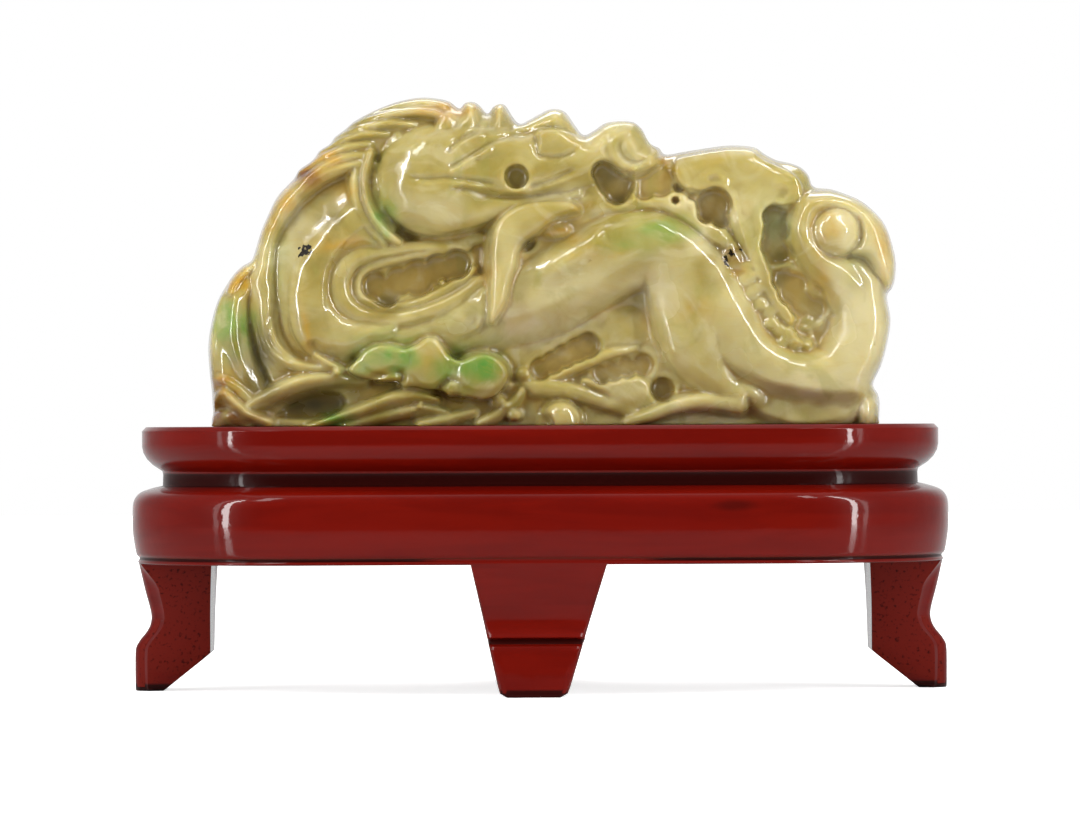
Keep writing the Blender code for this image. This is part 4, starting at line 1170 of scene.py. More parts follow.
@dataclass(frozen=True)
class JadeFinish:
    """Olive and cream jade with green, amber and brown in it, polished to a wet gloss. Its colour also holds
    painted light: a warm painted glow in the hollows, painted shade in creases, gaps and over the left half,
    and painted reflection on faces turned to the side.

    The patches are rows of (x, h, half width, half height, strength), seen from the front;
    `through` is how much of each reaches the back.
    """

    olive: tuple = (0.285, 0.222, 0.042, 1)
    cream: tuple = (0.475, 0.405, 0.165, 1)
    pale: tuple = (0.57, 0.51, 0.30, 1)
    # Dark olive that is partly the stone's darker tone and partly painted shade.
    dusk: tuple = (0.19, 0.145, 0.03, 1)
    moss: tuple = (0.26, 0.245, 0.055, 1)
    honey: tuple = (0.385, 0.275, 0.055, 1)
    # Warm light colour of the painted glow in the hollows.
    painted_glow: tuple = (0.47, 0.315, 0.08, 1)
    # Colour of the painted shade in the deepest gaps and pocket floors.
    deep: tuple = (0.12, 0.10, 0.035, 1)
    green: tuple = (0.08, 0.25, 0.035, 1)
    amber: tuple = (0.43, 0.235, 0.02, 1)
    brown: tuple = (0.15, 0.045, 0.01, 1)
    shade: tuple = (0.17, 0.11, 0.02, 1)
    ink: tuple = (0.012, 0.008, 0.004, 1)
    broad_rounds: int = 40
    fine_rounds: int = 5
    broad_depth: float = 0.8
    fine_depth: float = 0.12
    patches: dict = field(default_factory=lambda: {
        "green": ((-32.5, 14.5, 6, 3.2, 1), (-37.5, 13, 4.5, 3, 0.8), (-13, 12.8, 4.5, 3, 1),
                  (-17, 12, 6, 4, 0.75), (-68, 23, 3.6, 6, 0.6), (-64, 21, 2, 5, 0.7),
                  (-34, 45, 2.4, 4, 0.8), (-33, 43, 2, 2.5, 0.6), (26, 42, 7, 3, 0.5),
                  (20, 39, 6, 3, 0.35), (-44, 1.5, 4, 2, 0.8), (-32, 18.5, 8, 2, 0.4),
                  (-23, 9, 3, 3, 0.3), (32, 41.5, 3, 2, 0.3), (51.5, 41, 3, 6, 0.3),
                  (-57, 38, 2.5, 9, 0.25), (68, 35, 3, 3, 0.2)),
        "amber": ((-65.5, 31, 3.4, 4, 1), (-51, 54.5, 6, 2.6, 1), (-56, 50, 2.4, 4, 1),
                  (-58.4, 45, 1.8, 5, 0.9), (-50.8, 21, 0.9, 6, 0.6), (28, 56.5, 2, 3, 0.7),
                  (-43, 39.3, 6, 1.5, 0.6), (-24, 14, 4, 3, 0.55), (-34, 10.8, 4, 1.2, 0.6),
                  (75, 38, 2, 6, 0.5), (61, 32, 2, 4, 0.5), (-22, 67.5, 4, 1.2, 0.7), (-68, 9, 3, 3, 0.7),
                  (-60.5, 40.5, 1.5, 3, 0.6), (-42, 51, 2, 2, 0.5), (33, 24.5, 4, 3, 0.3),
                  (-5, 24, 4, 3, 0.2), (-11, 33, 1.5, 3, 0.4), (-53.5, 5.5, 5, 1.4, 0.4),
                  (10, 47.4, 1.6, 2, 0.35), (5, 41.2, 5, 1.6, 0.6), (43.4, 33, 1.6, 1.6, 0.7),
                  (2.6, 43, 2, 1.4, 0.5), (15, 36.5, 6, 1.4, 0.4), (61, 38, 2, 4, 0.4),
                  (63, 41.6, 2.6, 3.4, 0.6), (-20, 68.4, 7, 1.8, 0.8), (-47, 57.6, 5, 2, 0.8)),
        "brown": ((-71, 3, 4, 4, 1), (-64, 1.5, 7, 1.5, 0.9), (-70, 8.4, 3, 2, 0.6),
                  (-21, 67.4, 3.5, 0.9, 0.3), (-51, 53.8, 4, 1.5, 1), (-52.5, 56.2, 3, 1, 0.9),
                  (-72.5, 7, 2, 6, 0.5),
                  (42, 36.6, 2.8, 2, 1), (40, 38.4, 0.8, 1.6, 0.8)),
        "cream": ((-22, 46, 8, 4, 0.3), (12, 29, 12, 6, 0.7), (28, 24, 5, 14, 0.8), (-7.5, 38, 4, 9, 0.5),
                  (68, 12, 9, 14, 1), (-60.5, 28, 2.5, 12, 0.5), (45, 10, 14, 9, 0.8),
                  (20, 60, 4, 4, 0.4), (-10, 20, 8, 3, 0.5), (68, 42, 10, 10, 0.9), (47, 50, 14, 9, 0.6),
                  (-30, 21, 14, 4, 0.4), (15, 8, 16, 7, 0.6), (52, 30, 8, 16, 0.5)),
        # The pale patches are partly the stone's paler tone and partly painted light: painted reflection of
        # the bright tent on the neck's outer side, the tail's bend and beside the highlight along the back,
        # and lightening on the belly, which faces down.
        "pale": ((-53, 44.5, 2.4, 6, 0.9), (70, 28, 8, 18, 0.8), (8, 28, 12, 5, 0.4), (66, 44, 6, 5, 0.6),
                 (-5, 38, 4, 9, 0.3), (45, 24, 6, 12, 0.4), (60, 8, 12, 5, 0.7), (22, 29, 5, 5, 0.8),
                 (70, 3, 5, 3, 1), (-4, 21, 11, 4, 1), (8, 22, 6, 3, 0.8), (4, 49.5, 6, 1.6, 0.8),
                 (35, 2, 8, 2, 1), (-57, 38, 2, 9, 0.6), (48, 60, 8, 1.5, 0.7), (-22, 46, 6, 3, 0.3),
                 (18, 8, 8, 4, 0.4), (-33.4, 43.4, 1.6, 1.8, 0.9), (-30, 4, 4, 1.2, 0.6),
                 (34.5, 40, 3, 3, 0.7), (39, 34.4, 2.2, 4, 0.4), (46.4, 22, 2.2, 4, 0.5),
                 (41, 44, 3, 3, 0.6), (32, 48, 4, 3, 0.6), (20, 55, 5, 4, 0.5),
                 (51, 44.5, 3.4, 4, 1), (30, 2.4, 5, 2, 1), (-60, 50, 3, 3, 0.4)),
        "olive": ((-5, 54, 16, 8, 0.9), (-48, 33, 6, 8, 0.8), (-25, 54, 12, 8, 0.6), (-42, 41, 6, 5, 0.8),
                  (-12, 63, 16, 4, 0.6), (20, 36, 8, 5, 0.5), (-50, 22, 6, 5, 0.6), (36, 32, 3, 8, 0.4),
                  (8, 4, 20, 3, 0.4), (-36, 66, 9, 4, 0.6)),
        # These dark patches paint shade as well as darker stone: the whole left half is darkened as if it got
        # less light, and so are the leaf's valley behind the neck and the lower edges of the cloud and the
        # waves.
        "dusk": ((-44, 36, 24, 34, 0.36), (-62, 14, 4, 10, 1), (-66.4, 16, 4.6, 9, 0.95),
                 (-60, 9, 4, 5, 0.7), (-46, 43.5, 4.4, 7, 1), (-38, 50, 2.6, 6, 0.9),
                 (-47.4, 34, 4, 6, 0.6), (-50, 37, 3, 4, 0.5), (-46, 27, 6, 5, 0.5),
                 (-33, 25.5, 8, 3, 0.9), (-44, 22, 4, 4, 0.4), (-47, 58.6, 4, 2.4, 0.7),
                 (-50, 51, 4, 3, 0.6), (-36, 66, 9, 3, 0.6), (-28, 67.5, 12, 3, 0.7), (-8, 66, 8, 3, 0.5),
                 (-57.4, 44, 2, 6, 0.6), (4, 41, 7, 2.4, 0.8), (10.4, 47, 2, 2.4, 0.6),
                 (35, 33, 4, 4, 0.6), (40, 32, 3, 3, 0.6), (50, 30, 3, 6, 0.6), (60, 26, 3, 4, 0.4),
                 (70, 31, 3, 4, 0.4), (53, 38, 3, 5, 0.4), (40, 38, 3, 3, 0.5), (13, 26, 4, 2, 0.3),
                 (12, 8, 4, 3, 0.6), (16, 2, 8, 2, 0.6), (50, 3, 6, 3, 0.5), (58, 2, 6, 2, 0.5),
                 (61, 38, 3, 4, 0.4), (-12, 60, 10, 4, 0.4), (-38, 57, 4, 2, 0.4),
                 (-59, 32, 3, 10, 0.5), (-70.5, 7, 3, 8, 0.9), (-50, 42, 4, 5, 0.6),
                 (-30, 57, 8, 4, 0.4), (20.5, 26, 5, 3, 0.8), (21, 8.5, 4, 3, 0.4),
                 (-9, 38, 3, 4, 0.4), (0, 32, 5, 3, 0.3),
                 (30, 38, 3, 5, 0.3), (4, 56.5, 6, 2.5, 0.5), (-22, 58, 6, 4, 0.5),
                 (-8, 48.4, 5, 1.6, 0.6), (-12, 51.6, 5, 1.4, 0.4), (15, 42, 6, 3, 0.3),
                 (0, 60, 8, 3, 0.4), (19, 8, 6, 3, 0.25), (-10, 63.5, 14, 2.5, 0.5),
                 (-20, 7.6, 3.4, 1.6, 0.6), (-30, 10, 4, 1.6, 0.7), (-38, 6, 4, 2, 0.6),
                 (-24, 3, 4, 1.6, 0.6), (-6, 3, 4, 3, 0.7), (42, 35, 2.5, 4, 0.6), (-33, 62, 3, 3, 0.4),
                 (-52, 8, 8, 2.5, 0.3), (45, 12, 5, 4, 0.3)),
        # Painted shade: these patches darken the gap among the waves, the leaf's valley, the eye and the
        # bottoms of some pockets.
        "deep": ((-50, 4.6, 7.5, 2.4, 1), (-53, 4, 4, 1.8, 1), (-61, 14, 2.6, 7, 1),
                 (-60, 8.4, 3.4, 3, 0.7), (-57, 24, 1, 8, 0.2), (-4.7, 53.2, 1.6, 1.6, 0.3),
                 (-30, 43.5, 4, 1.2, 0.3), (15, 53, 2.4, 2.4, 0.35), (17.6, 49.4, 1.6, 1.2, 0.3),
                 (52.6, 36.4, 2, 1.2, 0.5), (-2.6, 39, 1.8, 1.2, 0.5)),
        "matt": ((26, 23, 3, 9, 1), (27, 28.6, 3.4, 5, 1), (66.4, 21, 2.4, 6, 0.9),
                 (42, 12.4, 5, 3, 1), (19, 60, 6.5, 6, 0.9), (6, 60, 4, 2.4, 0.3),
                 (-45, 5, 12, 4, 0.7), (-20, 3, 16, 4, 0.7), (-44, 34, 5, 6, 0.4),
                 (-12, 50, 6, 1.5, 0.7), (-20, 21.5, 6, 2, 0.6), (35, 5, 14, 3, 0.7),
                 (-14, 67.5, 12, 3, 0.5), (54, 20, 6, 4, 0.5), (20, 47, 16, 2, 0.5)),
        "ink": ((-50.9, 37.5, 2, 0.8, 1), (-49.8, 38.4, 1.1, 0.8, 1), (-51.4, 38.8, 0.6, 1.2, 0.9),
                (-49.2, 37.2, 2.2, 0.4, 0.7), (-52, 36.8, 0.5, 1, 0.7), (40.6, 35.2, 1, 1.5, 0.9),
                (41.8, 37, 1.2, 1.1, 0.75), (43.6, 37.6, 0.9, 0.6, 0.7))})
    through: dict = field(default_factory=lambda: {
        "green": 0.6, "amber": 0.6, "brown": 0.8, "cream": 1, "pale": 1, "olive": 1, "dusk": 1,
        "deep": 0, "ink": 0, "matt": 0.5})

    def paint(self, stone: bpy.types.Object, base: float) -> None:
        """Stores the patches and the stone's hollows as measures on its points.

        Args:
            stone: The carved stone.
            base: Height of its underside.
        """
        mesh = stone.data
        place = coordinates(mesh) / MM
        x, h = place[:, 0], place[:, 2] - base
        behind = place[:, 1] > 0
        wander = 0.8 * np.sin(0.9 * x + 0.5 * h + 0.15 * place[:, 1])
        bend = 0.8 * np.sin(0.8 * h - 0.6 * x + 1.7 + 0.1 * place[:, 1])
        for name, patches in self.patches.items():
            soft = 0.15 if name in ("ink", "deep") else 1.0
            value = np.zeros(len(x))
            for px, ph, rx, rh, strength in patches:
                away = ((x + soft * wander - px) / rx) ** 2 + ((h + soft * bend - ph) / rh) ** 2
                value = np.maximum(value, strength * np.exp(-away))
            value[behind] *= self.through[name]
            store(mesh, name, value)
        store(mesh, "hollow", hollows(mesh, self.broad_rounds) / self.broad_depth)
        store(mesh, "fine_hollow", hollows(mesh, self.fine_rounds) / self.fine_depth)

    def colour(self, nodes: Nodes) -> Socket:
        """Lays the jade's colours over each other, from the broad drifts to the ink spots, with a painted
        glow in the hollows and painted shade in the creases and gaps.

        Args:
            nodes: The material's nodes.

        Returns:
            The colour.
        """
        drift = nodes.noise(28, 3, (1, 1, 1.4), 0.6)
        cloudy = nodes.noise(75, 5, (1, 1, 1), 1.2)
        veins = nodes.noise(45, 6, (0.6, 1, 2.2), 2.5)
        mottle = nodes.noise(420, 3)
        colour = nodes.mix(nodes.spread(drift, 0.4, 0.6), self.olive, self.cream)
        colour = nodes.mix(nodes.spread(cloudy, 0.45, 0.75, 0, 0.4), colour, self.honey)
        colour = nodes.mix(nodes.measure("cream"), colour, self.cream)
        # Painted glow: the hollows and pocket floors are lit up warm, standing in for light that shines
        # through the thin stone.
        colour = nodes.mix(nodes.spread(nodes.measure("hollow"), 0.2, 0.9, 0, 0.85), colour, self.painted_glow)
        milky = nodes.spread(cloudy, 0.3, 0.6, 0.5, 1.1)
        # Broad tone patches: the pale ones carry some painted reflection and painted light, and the darkest
        # ones some painted shade.
        for name, tint in (("olive", self.olive), ("pale", self.pale), ("dusk", self.dusk)):
            colour = nodes.mix(nodes.sum("MULTIPLY", nodes.measure(name), milky, True), colour, tint)
        for name, tint in (("amber", self.amber), ("green", self.green), ("brown", self.brown)):
            patchy = nodes.spread(veins, 0.3, 0.6, 0.55, 1.15)
            share = nodes.sum("MULTIPLY", nodes.measure(name), patchy, True)
            colour = nodes.mix(share, colour, tint)
        beside = nodes.sum("ABSOLUTE", nodes.sum("SUBTRACT", veins, 0.5), 0.0)
        colour = nodes.mix(nodes.spread(beside, 0.0, 0.03, 0.08, 0), colour, self.amber)
        haze = nodes.spread(nodes.noise(60, 4, (1, 1, 1.3), 1.6), 0.52, 0.68, 0, 0.35)
        colour = nodes.mix(haze, colour, self.pale)
        moss = nodes.spread(nodes.noise(48, 4, (1.3, 1, 1), 1.8), 0.54, 0.68, 0, 0.4)
        colour = nodes.mix(moss, colour, self.moss)
        colour = nodes.mix(nodes.spread(mottle, 0.3, 0.75, 0, 0.12), colour, self.cream)
        colour = nodes.mix(nodes.spread(nodes.measure("fine_hollow"), 0.2, 1.2, 0, 0.3), colour, self.shade)
        # Painted shade in the deepest gaps and pockets, on the front only.
        colour = nodes.mix(nodes.measure("deep"), colour, self.deep)
        ragged = nodes.sum("SUBTRACT", nodes.noise(1100, 3), 0.5)
        ink = nodes.sum("ADD", nodes.measure("ink"), nodes.sum("MULTIPLY", ragged, 1.4))
        near = nodes.spread(nodes.measure("ink"), 0.1, 0.3)
        ink = nodes.sum("MULTIPLY", nodes.spread(ink, 0.5, 0.66), near)
        return nodes.mix(ink, colour, self.ink)

    def material(self) -> bpy.types.Material:
        """Makes the jade: its colours, then gloss and a little depth of light.

        Returns:
            The material.
        """
        material, nodes, shader = new_material("Polished jade")
        nodes.tree.links.new(self.colour(nodes), shader.inputs["Base Color"])
        smear = nodes.spread(nodes.noise(130, 3), 0.35, 0.7, 0.1, 0.2)
        matt = nodes.measure("matt")
        smear = nodes.sum("ADD", smear, nodes.sum("MULTIPLY", matt, 0.3))
        nodes.tree.links.new(smear, shader.inputs["Roughness"])
        nodes.tree.links.new(polish(nodes, 160, (1, 1, 1), 600, 0.05, 0.0006, 0.33), shader.inputs["Normal"])
        shader.inputs["IOR"].default_value = 1.6
        shader.inputs["Subsurface Weight"].default_value = 0.6
        shader.inputs["Subsurface Radius"].default_value = (1.0, 0.75, 0.3)
        shader.inputs["Subsurface Scale"].default_value = 0.005
        nodes.tree.links.new(nodes.spread(matt, 0, 1, 0.6, 0.0), shader.inputs["Coat Weight"])
        shader.inputs["Coat Roughness"].default_value = 0.035
        return material


def store(mesh: bpy.types.Mesh, name: str, values: np.ndarray) -> None:
    """Keeps one number from 0 to 1 at each of a mesh's points, under `name`."""
    layer = mesh.attributes.new(name, "FLOAT", "POINT")
    layer.data.foreach_set("value", np.clip(values, 0, 1).astype(np.float32))


def hollows(mesh: bpy.types.Mesh, rounds: int) -> np.ndarray:
    """How far each point lies inside its surroundings.

    Args:
        mesh: The mesh.
        rounds: How often points are moved to the middle of their neighbours.

    Returns:
        Depths in millimetres, negative where the surface bulges.
    """
    place = coordinates(mesh) / MM
    normals = np.empty(len(place) * 3)
    mesh.vertex_normals.foreach_get("vector", normals)
    pairs = np.empty(len(mesh.edges) * 2, dtype=np.int64)
    mesh.edges.foreach_get("vertices", pairs)
    a, b = pairs[::2], pairs[1::2]
    count = np.bincount(pairs, minlength=len(place))[:, None]
    even = place.copy()
    for _ in range(rounds):
        total = np.stack([np.bincount(a, even[b, k], len(place)) + np.bincount(b, even[a, k], len(place))
                          for k in range(3)], axis=1)
        even = total / count
    return ((even - place) * normals.reshape(-1, 3)).sum(1)


class LegKind(Enum):
    """Which way a leg of the stand faces, as its outward direction."""

    FRONT = (0, -1)
    RIGHT = (1, 0)
    BACK = (0, 1)
    LEFT = (-1, 0)


def in_order(bm: bmesh.types.BMesh) -> tuple:
    """Lists a mesh by place, because an extrusion leaves its faces in another order each run.

    Args:
        bm: The mesh.

    Returns:
        Its places, an empty list of edges, and its faces, each from its own first place on.
    """
    verts = sorted(bm.verts, key=lambda vert: tuple(vert.co))
    number = {vert: spot for spot, vert in enumerate(verts)}
    faces = sorted([number[vert] for vert in face.verts] for face in bm.faces)
    return [tuple(vert.co) for vert in verts], [], faces


@dataclass
class WoodenStand:
    """The stand: one moulded ring with a slab on top, hollow below, on four tapering legs."""

    half_length: float = 89.0
    half_depth: float = 48.0
    corner: float = 38.0
    corner_steps: int = 22
    apron: float = 28.2
    foot: tuple = ((0, 0), (0.9, 0), (8.4, 0.1), (10.8, 0.9), (13.2, 2.8), (15.2, 3.7), (17.6, 3.7),
                   (22.5, 2.5))
    lip: tuple = ((28.2, 1.3), (28.55, 1.1), (28.8, 1.25), (29.1, 1.5), (29.5, 1.45), (29.8, 1.05))
    belly: tuple = ((30.2, 0.8), (32, 0.45), (35, 0.05), (38, 0), (41, 0.1), (42.7, 0.8), (43.8, 2.2),
                    (44.7, 5))
    slab: tuple = ((45, 6.6), (47.4, 6.7), (48.2, 6.5), (48.8, 5.6), (49.6, 4.4), (50.8, 3.2),
                   (52.2, 2.4), (53.6, 2.1), (54.3, 2.1), (56.2, 2.1), (56.9, 2.1), (57.8, 3.0))
    hollow: tuple = ((0, 6.2), (8.3, 16.7), (40, 17.1))
    front_leg: tuple = ((-8.7, 5.5), (-14.9, 14.1))
    end_leg: tuple = ((-7.1, 7.1), (-14.5, 14.5))
    groove: tuple = (11.2, 12.4, 1.3)
    sole_round: float = 1.4
    stops: tuple = (0, 0.02, 0.06, 0.12, 0.22, 0.36, 0.5, 0.64, 0.78, 0.88, 0.94, 0.98, 1)
    bevel: float = 0.5
    bevel_angle: float = 38
    crease_angle: float = 40
    hollow_rim: float = 16.95
    outer_zone: tuple = (10, 8)
    leg_rounding: tuple = (3.0, 1.0)
    rounding_fade: float = 5
    groove_lip: float = 0.3

    def edge(self, along: float, kind: LegKind, inset: float) -> tuple:
        """A place on the stand's plan at one side.

        Args:
            along: Its x on the front and back, or its y at the ends.
            kind: The side.
            inset: How far the plan is moved in.

        Returns:
            Its x and y.
        """
        dx, dy = kind.value
        if dy:
            return along, dy * (self.half_depth - inset)
        beyond = max(0.0, abs(along) - (self.half_depth - self.corner))
        radius = self.corner - inset
        reach = self.half_length - self.corner + math.sqrt(radius ** 2 - beyond ** 2)
        return dx * reach, along

    def span(self, kind: LegKind, height: float) -> tuple:
        """Where a leg starts and ends along its side.

        Args:
            kind: Which leg.
            height: Height above the floor.

        Returns:
            Both places.
        """
        sole, top = self.front_leg if kind.value[1] else self.end_leg
        share = height / self.apron
        worn = min(1.0, max(0.0, 1 - height / self.sole_round))
        shrink = self.sole_round * (1 - math.sqrt(1 - worn ** 2))
        low, high = (s + (t - s) * share for s, t in zip(sole, top))
        return low + shrink, high - shrink

    def plan(self) -> list:
        """Walks round the stand's plan, anticlockwise.

        Returns:
            Rows of (x, y, outward x, outward y).
        """
        places = []
        straight = self.half_length - self.corner
        for kind in (LegKind.FRONT, LegKind.RIGHT, LegKind.BACK, LegKind.LEFT):
            dx, dy = kind.value
            low, high = self.span(kind, self.apron)
            stops = [low + (high - low) * stop for stop in self.stops]
            if dy:
                stops = [-straight, (low - straight) / 2] + stops + [(high + straight) / 2, straight]
            if dy > 0 or dx < 0:
                stops = stops[::-1]
            for along in stops:
                x, y = self.edge(along, kind, 0)
                places.append((x, y, *self.outward(x, y)))
            places.extend(self.corner_places(kind))
        return places

    def outward(self, x: float, y: float) -> tuple:
        """The direction out of the plan.

        Args:
            x: A place on the plan.
            y: The same place's y.

        Returns:
            Its x and y, one unit long.
        """
        across = x - math.copysign(min(abs(x), self.half_length - self.corner), x)
        deep = y - math.copysign(min(abs(y), self.half_depth - self.corner), y)
        length = math.hypot(across, deep)
        return across / length, deep / length

    def corner_places(self, kind: LegKind) -> list:
        """Walks round the corner that follows one side, up to the next side's leg.

        Args:
            kind: The side.

        Returns:
            Rows of (x, y, outward x, outward y).
        """
        start = {LegKind.FRONT: -90, LegKind.RIGHT: 0, LegKind.BACK: 90, LegKind.LEFT: 180}[kind]
        beyond = self.end_leg[1][1] - (self.half_depth - self.corner)
        skip = math.degrees(math.asin(beyond / self.corner))
        first, last = (0, 90 - skip) if kind.value[1] else (skip, 90)
        places = []
        for step in range(1, self.corner_steps):
            angle = math.radians(start + first + (last - first) * step / self.corner_steps)
            nx, ny = math.cos(angle), math.sin(angle)
            places.append((math.copysign(self.half_length - self.corner, nx) + self.corner * nx,
                           math.copysign(self.half_depth - self.corner, ny) + self.corner * ny, nx, ny))
        return places

    def build(self) -> bpy.types.Object:
        """Lofts the apron and slab up, the hollow in, and the legs down.

        Returns:
            The stand's body, without its finish.
        """
        bm = bmesh.new()
        plan = self.plan()
        profile = list(self.lip) + [tuple(row) for row in smooth_path(self.belly, 4)] + list(self.slab)
        start = profile[0]
        verts = [bm.verts.new((x - nx * start[1], y - ny * start[1], start[0])) for x, y, nx, ny in plan]
        ring = [bm.edges.new((a, b)) for a, b in zip(verts, verts[1:] + verts[:1])]
        outer = self.raise_ring(bm, ring, verts, plan, profile[1:])
        bmesh.ops.contextual_create(bm, geom=outer)
        inner = self.raise_ring(bm, ring, verts, plan, [(self.apron, self.hollow_rim), self.hollow[-1]])
        bmesh.ops.contextual_create(bm, geom=inner)
        bm.faces.ensure_lookup_table()
        for kind in LegKind:
            self.drop_leg(bm, kind)
        bmesh.ops.recalc_face_normals(bm, faces=bm.faces)
        bmesh.ops.scale(bm, vec=(MM, MM, MM), verts=bm.verts)
        mesh = bpy.data.meshes.new("stand_body")
        mesh.from_pydata(*in_order(bm))
        bm.free()
        stand = new_piece("stand_body", mesh)
        bevel = stand.modifiers.new("Worn edges", "BEVEL")
        bevel.width, bevel.segments = self.bevel * MM, 3
        bevel.limit_method, bevel.angle_limit = "ANGLE", math.radians(self.bevel_angle)
        bevel.harden_normals = False
        apply_modifiers(stand)
        stand.data.shade_smooth()
        stand.data.set_sharp_from_angle(angle=math.radians(self.crease_angle))
        return stand

    def raise_ring(self, bm: bmesh.types.BMesh, ring: list, verts: list, plan: list,
                   levels: list) -> list:
        """Extrudes a ring of edges through levels.

        Args:
            bm: The mesh.
            ring: The ring's edges.
            verts: The ring's vertices, in the plan's order.
            plan: The plan's places.
            levels: Rows of (height, inset).

        Returns:
            The last ring's edges.
        """
        for height, inset in levels:
            made = bmesh.ops.extrude_edge_only(bm, edges=ring)["geom"]
            fresh = {item for item in made if isinstance(item, bmesh.types.BMVert)}
            moved = []
            for vert, (x, y, nx, ny) in zip(verts, plan):
                twin = next(edge.other_vert(vert) for edge in vert.link_edges
                            if edge.other_vert(vert) in fresh)
                twin.co = (x - nx * inset, y - ny * inset, height)
                moved.append(twin)
            verts = moved
            ring = [item for item in made if isinstance(item, bmesh.types.BMEdge)
                    and item.verts[0] in fresh and item.verts[1] in fresh]
        return ring

    def drop_leg(self, bm: bmesh.types.BMesh, kind: LegKind) -> None:
        """Extrudes one leg down from the underside of the apron.

        Args:
            bm: The mesh.
            kind: Which leg.
        """
        dx, dy = kind.value
        low, high = self.span(kind, self.apron)

        def within(face: bmesh.types.BMFace) -> bool:
            """Whether a face of the underside lies above this leg.

            Args:
                face: The face.

            Returns:
                True above the leg.
            """
            middle = face.calc_center_median()
            along = middle.x if dy else middle.y
            outer = middle.y * dy if dy else middle.x * dx
            lowest = abs(middle.z - self.apron) < 0.01 and len(face.verts) == 4
            return lowest and low < along < high and outer > 0

        faces = [face for face in bm.faces if within(face)]
        at = {}
        for vert in {vert for face in faces for vert in face.verts}:
            along = vert.co.x if dy else vert.co.y
            at[vert] = ((along - low) / (high - low), self.is_outer(vert, kind))
        profile = [tuple(row) for row in smooth_path(self.foot[1:] + (self.lip[0],), 4)]
        levels = [self.foot[0]] + profile[:-1]
        for height, inset in reversed(self.with_groove(levels, kind)):
            made = bmesh.ops.extrude_face_region(bm, geom=faces)["geom"]
            fresh = [item for item in made if isinstance(item, bmesh.types.BMVert)]
            shares = {}
            for vert in fresh:
                twin = next(edge.other_vert(vert) for edge in vert.link_edges
                            if edge.other_vert(vert) in at)
                shares[vert] = at[twin]
            bmesh.ops.delete(bm, geom=faces, context="FACES_ONLY")
            first, last = self.span(kind, height)
            for vert, (share, outer) in shares.items():
                depth = inset if outer else float(np.interp(height, *zip(*self.hollow)))
                if outer:
                    depth += self.rounding(min(share, 1 - share) * (last - first), height, kind)
                vert.co.xy = self.edge(first + (last - first) * share, kind, depth)
                vert.co.z = height
            faces = [item for item in made if isinstance(item, bmesh.types.BMFace)]
            at = shares

    def rounding(self, gap: float, height: float, kind: LegKind) -> float:
        """How far a leg's outer face is rounded back near its side edges.

        Args:
            gap: Distance from the nearer side edge.
            height: Height above the floor.
            kind: Which leg.

        Returns:
            The depth, which fades out where the leg meets the apron.
        """
        radius = self.leg_rounding[abs(kind.value[1])]
        edge = min(1.0, max(0.0, 1 - gap / radius))
        fade = min(1.0, (self.apron - height) / self.rounding_fade)
        return radius * (1 - math.sqrt(1 - edge ** 2)) * fade

    def is_outer(self, vert: bmesh.types.BMVert, kind: LegKind) -> bool:
        """Whether a vertex under the apron lies on its outer edge.

        Args:
            vert: The vertex.
            kind: The side that it is on.

        Returns:
            True at the outer edge.
        """
        dx, dy = kind.value
        if dy:
            return vert.co.y * dy > self.half_depth - self.outer_zone[1]
        return vert.co.x * dx > self.half_length - self.outer_zone[0]

    def with_groove(self, levels: list, kind: LegKind) -> list:
        """Adds the fine groove across the front and back legs to their profile.

        Args:
            levels: Rows of (height, inset).
            kind: Which leg.

        Returns:
            The rows, with the groove's where the leg has one.
        """
        if not kind.value[1]:
            return levels
        low, high, depth = self.groove
        clear = self.groove_lip + 0.05
        kept = [level for level in levels if not low - clear < level[0] < high + clear]
        heights, insets = zip(*levels)
        extra = [(z, float(np.interp(z, heights, insets)) + cut)
                 for z, cut in ((low - self.groove_lip, 0), (low, depth), (high, depth),
                                (high + self.groove_lip, 0))]
        return sorted(kept + extra)


